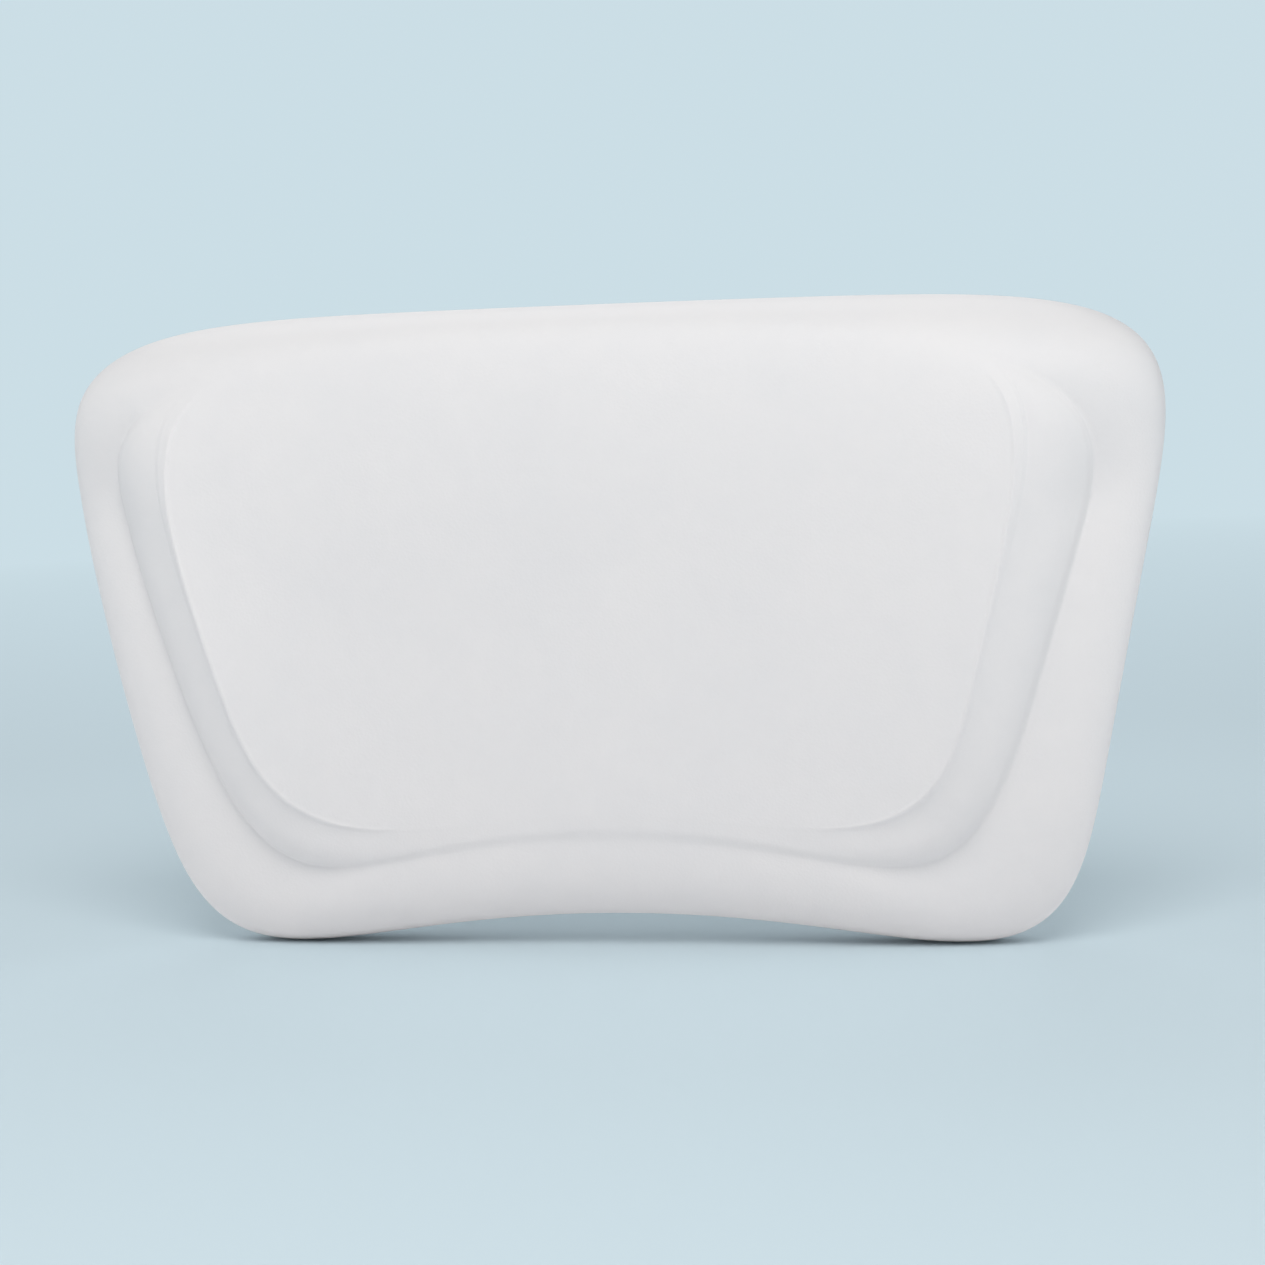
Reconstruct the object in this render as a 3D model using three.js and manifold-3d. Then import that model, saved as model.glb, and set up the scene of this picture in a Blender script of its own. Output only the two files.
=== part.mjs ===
import * as THREE from 'three';
import { mergeVertices } from 'three/addons/utils/BufferGeometryUtils.js';
import Module from 'manifold-3d';

// A bath pillow of self-skinned foam that hangs inside a bathtub on four suction cups.
// Millimetres. +X is to the right of someone who looks at the front, +Z is up, the front faces -Y.
// The tub wall is the plane y = 0, and the origin lies on it behind the middle of the body.
// "Height" below means how far a point lies towards the front of the middle of the parting line.

const wasm = await Module();
wasm.setup();
const { lerp, smoothstep, degToRad } = THREE.MathUtils;

// Outline of the body at its widest, which is the parting line of the mould. These are the sides of
// the trapezoid that its corners are rounded from: the body itself is 320 wide and 186 high.
const bodyTopWidth = 339;
const bodyBottomWidth = 256.5;
const bodyHeight = 197;
const bottomArchHeight = 21;
const topCrownHeight = 1.4;
const bodyTopPower = 6.3;
const bodyBottomPower = 5.6;
const partingBendDepth = 18;
const outlineDropHeight = 7;

// Foot line of the raised pad, as distances inside the body outline
const footTopSideInset = 12.7;
const footBottomSideInset = 23.1;
const footTopInset = 5.1;
const footBottomInset = 25.8;
const footArchHeight = 20.7;
const footTopPower = 3.1;
const footBottomPower = 5.9;

// Edge line of the head panel, as distances inside the body outline
const panelTopSideInset = 35.5;
const panelBottomSideInset = 37.6;
const panelTopInset = 9.5;
const panelBottomInset = 24.4;
const panelArchHeight = 29.7;
const panelTopPower = 5.3;
const panelBottomPower = 2.4;

// Relief of the front: rim, step up to the pad, band, step up to the panel, dished panel
const rimDepth = 13.6;
const rimSweep = degToRad(72);
const topRimSweep = degToRad(84);
const rimFlatPower = 0.75;
const footStepHeight = 2.6;
const footStepWidth = 1.9;
const valleyDepth = 2.6;
const valleyStartShare = 0.35;
const shoulderShare = 0.17;
const swellPeakShare = 4 / 27;
const middleLiftHeight = 2.4;
const middleShare = 0.25;
const panelStepHeight = 0.9;
const panelStepWidth = 1.1;
const panelMiddleDepth = 27;
const panelTiltDepth = 10.3;
const panelCrownDepth = 17.4;
const dishDepth = 9;
const dishPower = 4;
const dishFallPower = 1.8;
const rollDropHeight = 7;
const rollStartHeight = 42;
const rollLiftStartHeight = 38;
const rollLiftEndHeight = 92;

// Heights and half widths between which the two steps, the valley and the shoulder fade away
const reliefFadeStartHeight = 66;
const reliefFadeEndHeight = 86;
const panelFadeNearWidth = 51;
const panelFadeFarWidth = 80;
const valleyNearWidth = 60;
const valleyFarWidth = 105;

// Back of the body
const backDepth = 27;
const backRoundRadius = 8;
const wallDraftDepth = 1.5;
const backLeanShare = 0.12;
const backGap = 4;

// Skin and running clearances
const skin = 2;
const partingGap = 0.3;
const seatGap = 0.3;

// Suction cups: where they sit inside the sides of the body, their heights as shares of the body
// height, and how far they slide in their keyholes
const upperCupSideInset = 65.5;
const lowerCupSideInset = 64.25;
const upperCupShare = 0.193;
const lowerCupShare = 0.152;
const keyholeTravelLength = 10;

// Suction cup
const cupRadius = 23;
const sealWidth = 2.5;
const rimThickness = 1;
const bellDepth = 7;
const bellPower = 2.2;
const domeWall = 1.6;
const domePower = 1.5;
const bossRadius = 7.2;
const cupFloor = 2;
const neckLip = 1.4;
const tabLength = 8;
const tabWidth = 11;
const tabThickness = 1.4;
const tabOffset = 0.6;
const tabRibWidth = 1;
const tabRibHeight = 0.5;
const tabRibSpacing = 2.2;
const tabRibCount = 3;

// Stem: bulb in the cup, neck, collar, shank in the keyhole, head behind it
const bulbRadius = 4.2;
const bulbHeight = 2.4;
const shankRadius = 3;
const collarRadius = 5.6;
const collarThickness = 1.5;
const headRadius = 6;
const headThickness = 2.8;
const headEdge = 0.8;

// Socket: a well with a lip on the back skin, the keyhole in its floor, and a chamber behind the floor
const wellRadius = 26;
const wellWall = 2;
const wellChamfer = 0.8;
const lipWidth = 2.6;
const lipThickness = 1.2;
const floorThickness = 2.4;
const entryPlay = 0.6;
const chamberPlay = 0.7;
const chamberWall = 1.8;
const chamberDepth = 7;

// Cap that closes the chamber and clamps the insert plate against the well's floor
const capWall = 1.6;
const brimWidth = 2.6;
const brimThickness = 1.4;

// Insert plate in the foam
const plateThickness = 3;
const plateSideMargin = 6;
const plateEndMargin = 11;
const plateArchHeight = 8;
const platePower = 6;
const plateRimWidth = 2.4;
const plateRimHeight = 3;
const foamHoleRadius = 6;
const foamHoleSpacing = 28;

// Fineness of the surfaces
const halfTurnSteps = 28;
const cornerWeight = 60;
const walkSamples = 720;
const bisections = 52;
const wellSteps = 8;
const keyholeSteps = 6;
const latheSteps = 24;
const stemSteps = 14;
const curveSteps = 5;
const holeSteps = 6;
const plateStride = 2;
const rimShares = [0, 1 / 3, 2 / 3, 1];
const plainRimShares = [0, 1 / 2, 1];
const bandMiddleShare = 0.35;
const stepLimitShare = 0.3;
const panelShares = [1, 0.88, 0.62, 0.32];
const plainPanelShares = [1, 0.62, 0.32];
const backTurns = [0, Math.PI / 4, Math.PI / 2];
const plainBackTurns = [0, Math.PI / 2];
const overrun = 1;

// Values worked out from the sizes above
const halfHeight = bodyHeight / 2;
const upperCupX = bodyTopWidth / 2 - upperCupSideInset;
const upperCupZ = bodyHeight * upperCupShare;
const lowerCupX = bodyBottomWidth / 2 - lowerCupSideInset;
const lowerCupZ = -bodyHeight * lowerCupShare;
const partingPlane = -(backGap + backDepth);
const cavityFloor = bellDepth + cupFloor;
const cavityTop = cavityFloor + bulbHeight + 2 * seatGap;
const bossTop = cavityTop + neckLip;
const floorStart = bossTop + seatGap + collarThickness + seatGap;
const floorEnd = floorStart + floorThickness;
const headStart = floorEnd + seatGap;
const chamberRadius = headRadius + chamberPlay;
const chamberOuterRadius = chamberRadius + chamberWall;
const chamberEnd = floorEnd + chamberDepth;
const wellOuterRadius = wellRadius + wellWall;
const lipRadius = wellOuterRadius + lipWidth;
const lipStart = backGap - lipThickness;
const plateStart = floorEnd + seatGap;
const plateEnd = plateStart + plateThickness;
const capBoreRadius = chamberOuterRadius + seatGap;
const capOuterRadius = capBoreRadius + capWall;
const brimRadius = capOuterRadius + brimWidth;
const capStart = plateEnd + seatGap;
const capFloor = chamberEnd + seatGap;
const capEnd = capFloor + capWall;
const plateTop = upperCupZ + brimRadius + plateEndMargin;
const plateBottom = lowerCupZ - keyholeTravelLength - brimRadius - plateEndMargin;
const upperCapBottom = upperCupZ - keyholeTravelLength - brimRadius;
const plateHalfWidth = upperCupX + brimRadius + plateSideMargin;
const sideSlope = (bodyTopWidth - bodyBottomWidth) / 2 / bodyHeight;

const bodyLine = {
  topWidth: bodyTopWidth,
  bottomWidth: bodyBottomWidth,
  top: halfHeight,
  bottom: -halfHeight,
  arch: bottomArchHeight,
  crown: topCrownHeight,
  topPower: bodyTopPower,
  bottomPower: bodyBottomPower,
};
const footLine = {
  topWidth: bodyTopWidth - 2 * footTopSideInset,
  bottomWidth: bodyBottomWidth - 2 * footBottomSideInset,
  top: halfHeight - footTopInset,
  bottom: footBottomInset - halfHeight,
  arch: footArchHeight,
  crown: topCrownHeight,
  topPower: footTopPower,
  bottomPower: footBottomPower,
};
const panelLine = {
  topWidth: bodyTopWidth - 2 * panelTopSideInset,
  bottomWidth: bodyBottomWidth - 2 * panelBottomSideInset,
  top: halfHeight - panelTopInset,
  bottom: panelBottomInset - halfHeight,
  arch: panelArchHeight,
  crown: topCrownHeight,
  topPower: panelTopPower,
  bottomPower: panelBottomPower,
};
const plateLine = {
  topWidth: 2 * (plateHalfWidth + sideSlope * (plateTop - upperCapBottom)),
  bottomWidth: 2 * (plateHalfWidth - sideSlope * (upperCapBottom - plateBottom)),
  top: plateTop,
  bottom: plateBottom,
  arch: plateArchHeight,
  crown: 0,
  topPower: platePower,
  bottomPower: platePower,
};

// The same outline drawn in on all sides
function drawnIn(line, inset) {
  return {
    ...line,
    topWidth: line.topWidth - 2 * inset,
    bottomWidth: line.bottomWidth - 2 * inset,
    top: line.top - inset,
    bottom: line.bottom + inset,
  };
}

// A rounded trapezoid: a superellipse whose width changes with height, with an arched lower edge
function outlinePoint(line, turn) {
  const across = Math.cos(turn);
  const up = Math.sin(turn);
  const power = lerp(line.bottomPower, line.topPower, (up + 1) / 2);
  const wide = Math.sign(across) * Math.abs(across) ** (2 / power);
  const high = Math.sign(up) * Math.abs(up) ** (2 / power);
  const halfWidth = lerp(line.bottomWidth, line.topWidth, (high + 1) / 2) / 2;
  const middle = (line.top + line.bottom) / 2;
  const reach = (line.top - line.bottom) / 2;
  const arch = line.arch * (1 - wide ** 2) * ((1 - high) / 2) ** 3;
  const crown = line.crown * (1 - wide ** 2) * ((1 + high) / 2) ** 3;
  return new THREE.Vector2(wide * halfWidth, middle + high * reach + arch + crown);
}

// The point of an outline that lies in a given direction from the origin, found by halving
function outlineToward(line, angle) {
  let low = angle - Math.PI / 2;
  let high = angle + Math.PI / 2;
  for (let step = 0; step < bisections; step += 1) {
    const middle = (low + high) / 2;
    const point = outlinePoint(line, middle);
    const seen = Math.atan2(point.y, point.x) - angle;
    const ahead = Math.atan2(Math.sin(seen), Math.cos(seen));
    if (ahead > 0) {
      high = middle;
    } else {
      low = middle;
    }
  }
  return outlinePoint(line, (low + high) / 2);
}

// Directions from the top middle down the right side to the bottom middle, closer together in the corners
function walkDirections() {
  const angles = [];
  const reached = [0];
  for (let sample = 0; sample <= walkSamples; sample += 1) {
    angles.push(Math.PI / 2 - (Math.PI * sample) / walkSamples);
  }
  const points = angles.map((angle) => outlineToward(bodyLine, angle));
  for (let sample = 1; sample <= walkSamples; sample += 1) {
    const side = points[sample].clone().sub(points[sample - 1]);
    const before = points[Math.max(sample - 1, 1)].clone().sub(points[Math.max(sample - 2, 0)]);
    const bend = Math.abs(Math.atan2(side.cross(before), side.dot(before)));
    reached.push(reached[sample - 1] + side.length() + cornerWeight * bend);
  }
  const directions = [];
  for (let step = 0; step < halfTurnSteps; step += 1) {
    const goal = (reached[walkSamples] * step) / halfTurnSteps;
    const next = Math.max(1, reached.findIndex((value) => value >= goal));
    const share = (goal - reached[next - 1]) / (reached[next] - reached[next - 1]);
    directions.push(lerp(angles[next - 1], angles[next], share));
  }
  directions.push(angles[walkSamples]);
  return directions;
}

const walk = walkDirections();

function partingHeight(z) {
  return -partingBendDepth * (z / halfHeight) ** 2;
}

function reliefFade(z) {
  return 1 - smoothstep(z, reliefFadeStartHeight, reliefFadeEndHeight);
}

function panelFade(x, z) {
  const aside = smoothstep(Math.abs(x), panelFadeNearWidth, panelFadeFarWidth);
  return reliefFade(z) * lerp(middleShare, 1, aside);
}

// 1 at the sides and a small share in the middle of the bottom
function asideShare(x) {
  return lerp(middleShare, 1, smoothstep(Math.abs(x), valleyNearWidth, valleyFarWidth));
}

// Height of the head panel: tilted, crowned from top to bottom, dished from side to side, and rolled
// back at the top
function panelHeight(x, z) {
  const up = z / halfHeight;
  const share = (z - panelLine.bottom) / (panelLine.top - panelLine.bottom);
  const halfWidth = lerp(panelLine.bottomWidth, panelLine.topWidth, share) / 2;
  const aside = Math.min(1, Math.abs(x) / halfWidth);
  const fall = Math.max(0, 1 - up ** 2) ** dishFallPower;
  const dish = dishDepth * (1 - aside ** dishPower) * fall;
  const back = Math.max(0, (z - rollStartHeight) / (halfHeight - rollStartHeight)) ** 2;
  const plain = panelMiddleDepth + panelTiltDepth * up - panelCrownDepth * up ** 2;
  return plain - dish - rollDropHeight * back;
}

// Height of the foot line: above the parting line, a little more in the middle of the bottom, and up to
// the panel's own surface along the rolled top edge
function footHeight(point) {
  const lift = middleLiftHeight * (1 - asideShare(point.x)) * reliefFade(point.y);
  const roll = smoothstep(point.y, rollLiftStartHeight, rollLiftEndHeight);
  return lerp(partingHeight(point.y) + rimDepth + lift, panelHeight(point.x, point.y), roll);
}

function placed(point, height) {
  return new THREE.Vector3(point.x, partingPlane - height, point.y - outlineDropHeight);
}

// A closed ring of points, worked out on the right side and mirrored to the left. A stride above 1
// leaves out directions between.
function ring(pointFor, stride = 1) {
  const right = walk.filter((angle, index) => index % stride === 0).map(pointFor);
  const left = right.slice(1, -1).reverse();
  return [...right, ...left.map((point) => new THREE.Vector3(-point.x, point.y, point.z))];
}

// Rim ring, from the parting line (share 0) to the foot line (share 1), lowered by what covers it. The
// rim is flattened on top and sinks into a valley before the foot line.
function rimRing(cover, share) {
  const outer = drawnIn(bodyLine, cover);
  const inner = drawnIn(footLine, cover);
  return ring((angle) => {
    const start = outlineToward(outer, angle);
    const foot = outlineToward(inner, angle);
    const fade = reliefFade(foot.y);
    const sweep = lerp(topRimSweep, rimSweep, fade);
    const turn = sweep * share;
    const inset = (1 - Math.cos(turn)) / (1 - Math.cos(sweep));
    const rise = (Math.sin(turn) / Math.sin(sweep)) ** lerp(1, rimFlatPower, fade);
    const sunk = valleyDepth * asideShare(foot.x) * fade * smoothstep(inset, valleyStartShare, 1);
    const height = lerp(partingHeight(start.y), footHeight(foot), rise) - sunk - cover * rise;
    return placed(start.lerp(foot, inset), height);
  });
}

// Band ring between the foot line and the panel edge. Relief is 1 with the steps and 0 without.
// The distance is counted from the foot line, or back from the panel edge where it is negative. The
// shoulder behind the foot line is share times the square of what is left of it, over its peak of 4/27.
function bandRing(cover, relief, distance, share) {
  const outer = drawnIn(footLine, cover);
  const inner = drawnIn(panelLine, cover);
  return ring((angle) => {
    const foot = outlineToward(outer, angle);
    const edge = outlineToward(inner, angle);
    const width = foot.distanceTo(edge);
    const part = share + THREE.MathUtils.clamp(distance / width, -stepLimitShare, stepLimitShare);
    const aside = asideShare(foot.x);
    const step = footStepHeight * reliefFade(foot.y) * (1 + aside) / 2;
    const low = footHeight(foot) + relief * step;
    const high = panelHeight(edge.x, edge.y) - relief * panelStepHeight * panelFade(edge.x, edge.y);
    const swell = shoulderShare * width * aside * reliefFade(foot.y) * (1 - part) ** 2 * part;
    return placed(foot.lerp(edge, part), lerp(low, high, part) + swell / swellPeakShare - cover);
  });
}

// Panel ring: the panel's edge line at share 1, drawn towards the middle below that
function panelRing(cover, share) {
  const line = drawnIn(panelLine, cover);
  return ring((angle) => {
    const edge = outlineToward(line, angle);
    const point = edge.clone().multiplyScalar(share);
    return placed(point, panelHeight(point.x, point.y) - cover);
  });
}

function panelMiddle(cover) {
  return placed(new THREE.Vector2(0, 0), panelHeight(0, 0) - cover);
}

// Back ring: the wall from the parting line, then the rounded edge of the back
function backRing(cover, wallShare, roundTurn, gap) {
  const line = drawnIn(bodyLine, cover);
  const round = backRoundRadius - cover;
  return ring((angle) => {
    const point = outlineToward(line, angle);
    const start = partingHeight(point.y) - gap;
    const wallEnd = backRoundRadius - backDepth;
    const height = lerp(start, wallEnd, wallShare) - round * Math.sin(roundTurn);
    const inset = wallDraftDepth * wallShare + round * (1 - Math.cos(roundTurn));
    const moved = outlineToward(drawnIn(line, inset), angle);
    moved.y += backLeanShare * (start - height);
    return placed(moved, height);
  });
}

function backMiddle(cover) {
  return placed(new THREE.Vector2(0, 0), cover - backDepth);
}

// Rings from the parting line over the front with both steps, ending in the middle point
function frontRings() {
  return [
    ...rimShares.map((share) => rimRing(0, share)),
    bandRing(0, 1, footStepWidth, 0),
    bandRing(0, 1, 0, bandMiddleShare),
    bandRing(0, 1, -panelStepWidth, 1),
    ...panelShares.map((share) => panelRing(0, share)),
    panelMiddle(0),
  ];
}

// The same under a cover, without the steps
function plainFrontRings(cover) {
  return [
    ...plainRimShares.map((share) => rimRing(cover, share)),
    bandRing(cover, 0, 0, bandMiddleShare),
    ...plainPanelShares.map((share) => panelRing(cover, share)),
    panelMiddle(cover),
  ];
}

// Rings from the parting line over the back, ending in the middle point
function backRings(cover, gap, turns) {
  return [
    backRing(cover, 0, 0, gap),
    ...turns.map((turn) => backRing(cover, 1, turn, gap)),
    backMiddle(cover),
  ];
}

// Joins rings, and single points where a surface closes, into one closed surface that faces outwards
function loft(stations, loop) {
  const vertices = [];
  const faces = [];
  const starts = stations.map((station) => {
    const start = vertices.length;
    vertices.push(...(Array.isArray(station) ? station : [station]));
    return start;
  });
  const last = loop ? stations.length : stations.length - 1;
  for (let index = 0; index < last; index += 1) {
    const next = (index + 1) % stations.length;
    const opens = Array.isArray(stations[index]);
    const closes = Array.isArray(stations[next]);
    const count = Math.max(opens ? stations[index].length : 0, closes ? stations[next].length : 0);
    for (let step = 0; step < count; step += 1) {
      const after = (step + 1) % count;
      if (opens) {
        faces.push([starts[index] + step, starts[index] + after, starts[next] + (closes ? after : 0)]);
      }
      if (closes) {
        faces.push([starts[index] + (opens ? step : 0), starts[next] + after, starts[next] + step]);
      }
    }
  }
  const volume = faces.reduce((sum, [a, b, c]) => {
    const normal = new THREE.Vector3().crossVectors(vertices[b], vertices[c]);
    return sum + vertices[a].dot(normal);
  }, 0);
  const turned = volume < 0 ? faces.map(([a, b, c]) => [a, c, b]) : faces;
  const geometry = new THREE.BufferGeometry().setFromPoints(vertices);
  geometry.setIndex(turned.flat());
  return geometry;
}

function toSolid(geometry) {
  const bare = geometry.clone();
  bare.deleteAttribute('normal');
  bare.deleteAttribute('uv');
  const merged = mergeVertices(bare);
  const corners = merged.index.array;
  const kept = [];
  for (let index = 0; index < corners.length; index += 3) {
    const [a, b, c] = corners.slice(index, index + 3);
    if (a !== b && b !== c && c !== a) {
      kept.push(a, b, c);
    }
  }
  const mesh = new wasm.Mesh({
    numProp: 3,
    vertProperties: new Float32Array(merged.attributes.position.array),
    triVerts: new Uint32Array(kept),
  });
  return new wasm.Manifold(mesh);
}

function toGeometry(solid) {
  const mesh = solid.getMesh();
  const geometry = new THREE.BufferGeometry();
  geometry.setAttribute('position', new THREE.BufferAttribute(mesh.vertProperties, mesh.numProp));
  geometry.setIndex(new THREE.BufferAttribute(mesh.triVerts, 1));
  return geometry;
}

// A ring in a plane of constant y, at a depth in front of the tub wall: two half circles, one travel apart
function stadiumRing(cup, radius, depth, steps) {
  const points = [];
  for (let half = 0; half < 2; half += 1) {
    for (let step = 0; step <= steps; step += 1) {
      const turn = Math.PI * (half + step / steps);
      const z = cup.z - half * keyholeTravelLength + radius * Math.sin(turn);
      points.push(new THREE.Vector3(cup.x + radius * Math.cos(turn), -depth, z));
    }
  }
  return points;
}

// A solid from stadium rings, each given as a radius and a depth
function stadium(cup, layers, steps = keyholeSteps) {
  const middle = cup.z - keyholeTravelLength / 2;
  const first = layers[0];
  const last = layers[layers.length - 1];
  const stations = layers.map(([radius, depth]) => stadiumRing(cup, radius, depth, steps));
  stations.unshift(new THREE.Vector3(cup.x, -first[1], middle));
  stations.push(new THREE.Vector3(cup.x, -last[1], middle));
  return toSolid(loft(stations, false));
}

function disc(x, z, radius, start, end, steps) {
  const geometry = new THREE.CylinderGeometry(radius, radius, end - start, steps);
  geometry.translate(x, -(start + end) / 2, z);
  return toSolid(geometry);
}

function block(width, depth, height, x, y, z) {
  const geometry = new THREE.BoxGeometry(width, depth, height);
  geometry.translate(x, y, z);
  return toSolid(geometry);
}

// Front half of the skin, a shell that is open at the parting line
function frontSkin() {
  const outer = frontRings();
  const inner = plainFrontRings(skin).reverse();
  return loft([...outer, ...inner], true);
}

// Back half of the skin, with an opening for each socket
function backSkin(cups) {
  const outer = backRings(0, partingGap, backTurns);
  const inner = backRings(skin, partingGap, plainBackTurns).reverse();
  let solid = toSolid(loft([...outer, ...inner], true));
  const radius = wellOuterRadius + seatGap;
  for (const cup of cups) {
    const ends = [[radius, backGap - overrun], [radius, backGap + skin + overrun]];
    solid = solid.subtract(stadium(cup, ends, wellSteps));
  }
  return toGeometry(solid);
}

// Middles of the holes in the insert plate: two rows of four between the upper cups, two below
function holePlaces() {
  const rows = [
    { height: upperCupZ, count: 4 },
    { height: (upperCupZ + lowerCupZ) / 2, count: 4 },
    { height: lowerCupZ, count: 2 },
  ];
  return rows.flatMap(({ height, count }) => {
    const offset = (foamHoleSpacing * (count - 1)) / 2;
    const columns = Array.from({ length: count }, (unused, index) => index * foamHoleSpacing - offset);
    return columns.map((x) => ({ x, z: height }));
  });
}

function plateSlab(inset, start, end) {
  const line = drawnIn(plateLine, inset);
  const at = (depth) => ring((angle) => {
    const point = outlineToward(line, angle);
    return new THREE.Vector3(point.x, -depth, point.y);
  }, plateStride);
  const stations = [new THREE.Vector3(0, -start, 0), at(start), at(end), new THREE.Vector3(0, -end, 0)];
  return toSolid(loft(stations, false));
}

// The insert plate grown by a play on all sides: with no play it is the plate itself, without its windows
function plateBody(play) {
  const start = plateStart - play;
  const end = plateEnd + play;
  const rimEnd = end + plateRimHeight;
  const rim = plateSlab(-play, plateEnd - overrun, rimEnd);
  const inside = plateSlab(plateRimWidth + play, plateEnd - 2 * overrun, rimEnd + overrun);
  let solid = plateSlab(-play, start, end).add(rim.subtract(inside));
  for (const { x, z } of holePlaces()) {
    solid = solid.subtract(disc(x, z, foamHoleRadius - play, start - overrun, end + overrun, holeSteps));
  }
  return solid;
}

function insertPlate(cups) {
  let solid = plateBody(0);
  for (const cup of cups) {
    solid = solid.subtract(stadium(cup, [
      [chamberOuterRadius + seatGap, plateStart - overrun],
      [chamberOuterRadius + seatGap, plateEnd + overrun],
    ]));
  }
  return toGeometry(solid);
}

// The foam inside the skin, cut by the sockets, plate and caps that are moulded into it
function foamCore(cups) {
  const cover = skin + seatGap;
  const stations = [...plainFrontRings(cover).reverse(), ...backRings(cover, 0, plainBackTurns).slice(1)];
  let solid = toSolid(loft(stations, false));
  for (const cup of cups) {
    const hollow = wellOuterRadius + seatGap;
    const ends = [[hollow, backGap - overrun], [hollow, floorEnd + seatGap]];
    solid = solid.subtract(stadium(cup, ends, wellSteps));
    solid = solid.subtract(stadium(cup, [
      [brimRadius + seatGap, floorEnd],
      [brimRadius + seatGap, capStart + brimThickness + seatGap],
    ]));
    solid = solid.subtract(stadium(cup, [
      [capOuterRadius + seatGap, floorEnd],
      [capOuterRadius + seatGap, capEnd + seatGap],
    ]));
  }
  return toGeometry(solid.subtract(plateBody(seatGap)));
}

// Well for the cup with the keyhole in its floor, and the chamber that the stem's head slides in
function cupSocket(cup) {
  const entry = headRadius + entryPlay;
  const slot = shankRadius + seatGap;
  const start = floorStart - overrun;
  const end = floorEnd + overrun;
  const chamberTop = floorEnd - overrun;
  let solid = stadium(cup, [[wellOuterRadius, lipStart], [wellOuterRadius, floorEnd]], wellSteps);
  solid = solid.add(stadium(cup, [[lipRadius, lipStart], [lipRadius, backGap]], wellSteps));
  solid = solid.subtract(stadium(cup, [
    [wellRadius + wellChamfer + overrun, lipStart - overrun],
    [wellRadius, lipStart + wellChamfer],
    [wellRadius, floorStart],
  ], wellSteps));
  solid = solid.add(stadium(cup, [[chamberOuterRadius, chamberTop], [chamberOuterRadius, chamberEnd]]));
  solid = solid.subtract(stadium(cup, [[chamberRadius, floorEnd], [chamberRadius, chamberEnd + overrun]]));
  solid = solid.subtract(stadium(cup, [[slot, start], [slot, end]]));
  return toGeometry(solid.subtract(disc(cup.x, cup.z - keyholeTravelLength, entry, start, end, stemSteps)));
}

// Hat-shaped cap: a crown over the chamber and a brim on the insert plate
function socketCap(cup) {
  const brimEnd = capStart + brimThickness;
  let solid = stadium(cup, [[brimRadius, capStart], [brimRadius, brimEnd]]);
  solid = solid.add(stadium(cup, [[capOuterRadius, capStart], [capOuterRadius, capEnd]]));
  const bore = stadium(cup, [[capBoreRadius, capStart - overrun], [capBoreRadius, capFloor]]);
  return toGeometry(solid.subtract(bore));
}

// Revolves a profile of radii and depths about the cup's axis. A lathe faces outwards where its profile
// climbs, and depths fall, so the order is turned round.
function revolved(profile, steps) {
  const points = profile.map(([radius, depth]) => new THREE.Vector2(radius, -depth));
  return new THREE.LatheGeometry(points.reverse(), steps);
}

// Stem with its bulb in the cup's boss and its head behind the keyhole
function cupStem() {
  const bulbStart = cavityFloor + seatGap;
  const bulbEnd = bulbStart + bulbHeight;
  const collarStart = bossTop + seatGap;
  const collarEnd = collarStart + collarThickness;
  const headEnd = headStart + headThickness;
  return revolved([
    [0, bulbStart],
    [bulbRadius - headEdge, bulbStart],
    [bulbRadius, bulbStart + headEdge],
    [bulbRadius, bulbEnd],
    [shankRadius, bulbEnd],
    [shankRadius, collarStart],
    [collarRadius, collarStart],
    [collarRadius, collarEnd],
    [shankRadius, collarEnd],
    [shankRadius, headStart],
    [headRadius, headStart],
    [headRadius, headEnd - headEdge],
    [headRadius - headEdge, headEnd],
    [0, headEnd],
  ], stemSteps);
}

// Bell of the suction cup with the boss on its back, and the pull tab on its rim
function suctionCup() {
  const bellRadius = cupRadius - sealWidth;
  const domeTop = bellDepth + domeWall;
  const profile = [[0, bellDepth]];
  for (let step = 1; step <= curveSteps; step += 1) {
    const share = step / curveSteps;
    profile.push([bellRadius * share, bellDepth * (1 - share ** bellPower)]);
  }
  profile.push([cupRadius, 0]);
  for (let step = curveSteps; step >= 0; step -= 1) {
    const share = step / curveSteps;
    const rise = (domeTop - rimThickness) * (1 - share ** domePower);
    profile.push([lerp(bossRadius, cupRadius, share), rimThickness + rise]);
  }
  profile.push([bossRadius, bossTop]);
  profile.push([shankRadius + seatGap, bossTop]);
  profile.push([shankRadius + seatGap, cavityTop]);
  profile.push([bulbRadius + seatGap, cavityTop]);
  profile.push([bulbRadius + seatGap, cavityFloor]);
  profile.push([0, cavityFloor]);
  let solid = toSolid(revolved(profile, latheSteps));
  const tabBlock = tabLength + sealWidth;
  const tabMiddle = -(bellRadius + tabBlock / 2);
  const tabFace = -(tabOffset + tabThickness / 2);
  solid = solid.add(block(tabWidth, tabThickness, tabBlock, 0, tabFace, tabMiddle));
  const ribHeight = tabRibHeight + tabThickness / 2;
  const ribMiddle = -(tabOffset + tabThickness + tabRibHeight) + ribHeight / 2;
  for (let rib = 1; rib <= tabRibCount; rib += 1) {
    const ribZ = -(cupRadius + tabLength) + rib * tabRibSpacing;
    solid = solid.add(block(tabWidth - 2 * tabRibWidth, ribHeight, tabRibWidth, 0, ribMiddle, ribZ));
  }
  return toGeometry(solid);
}

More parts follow.
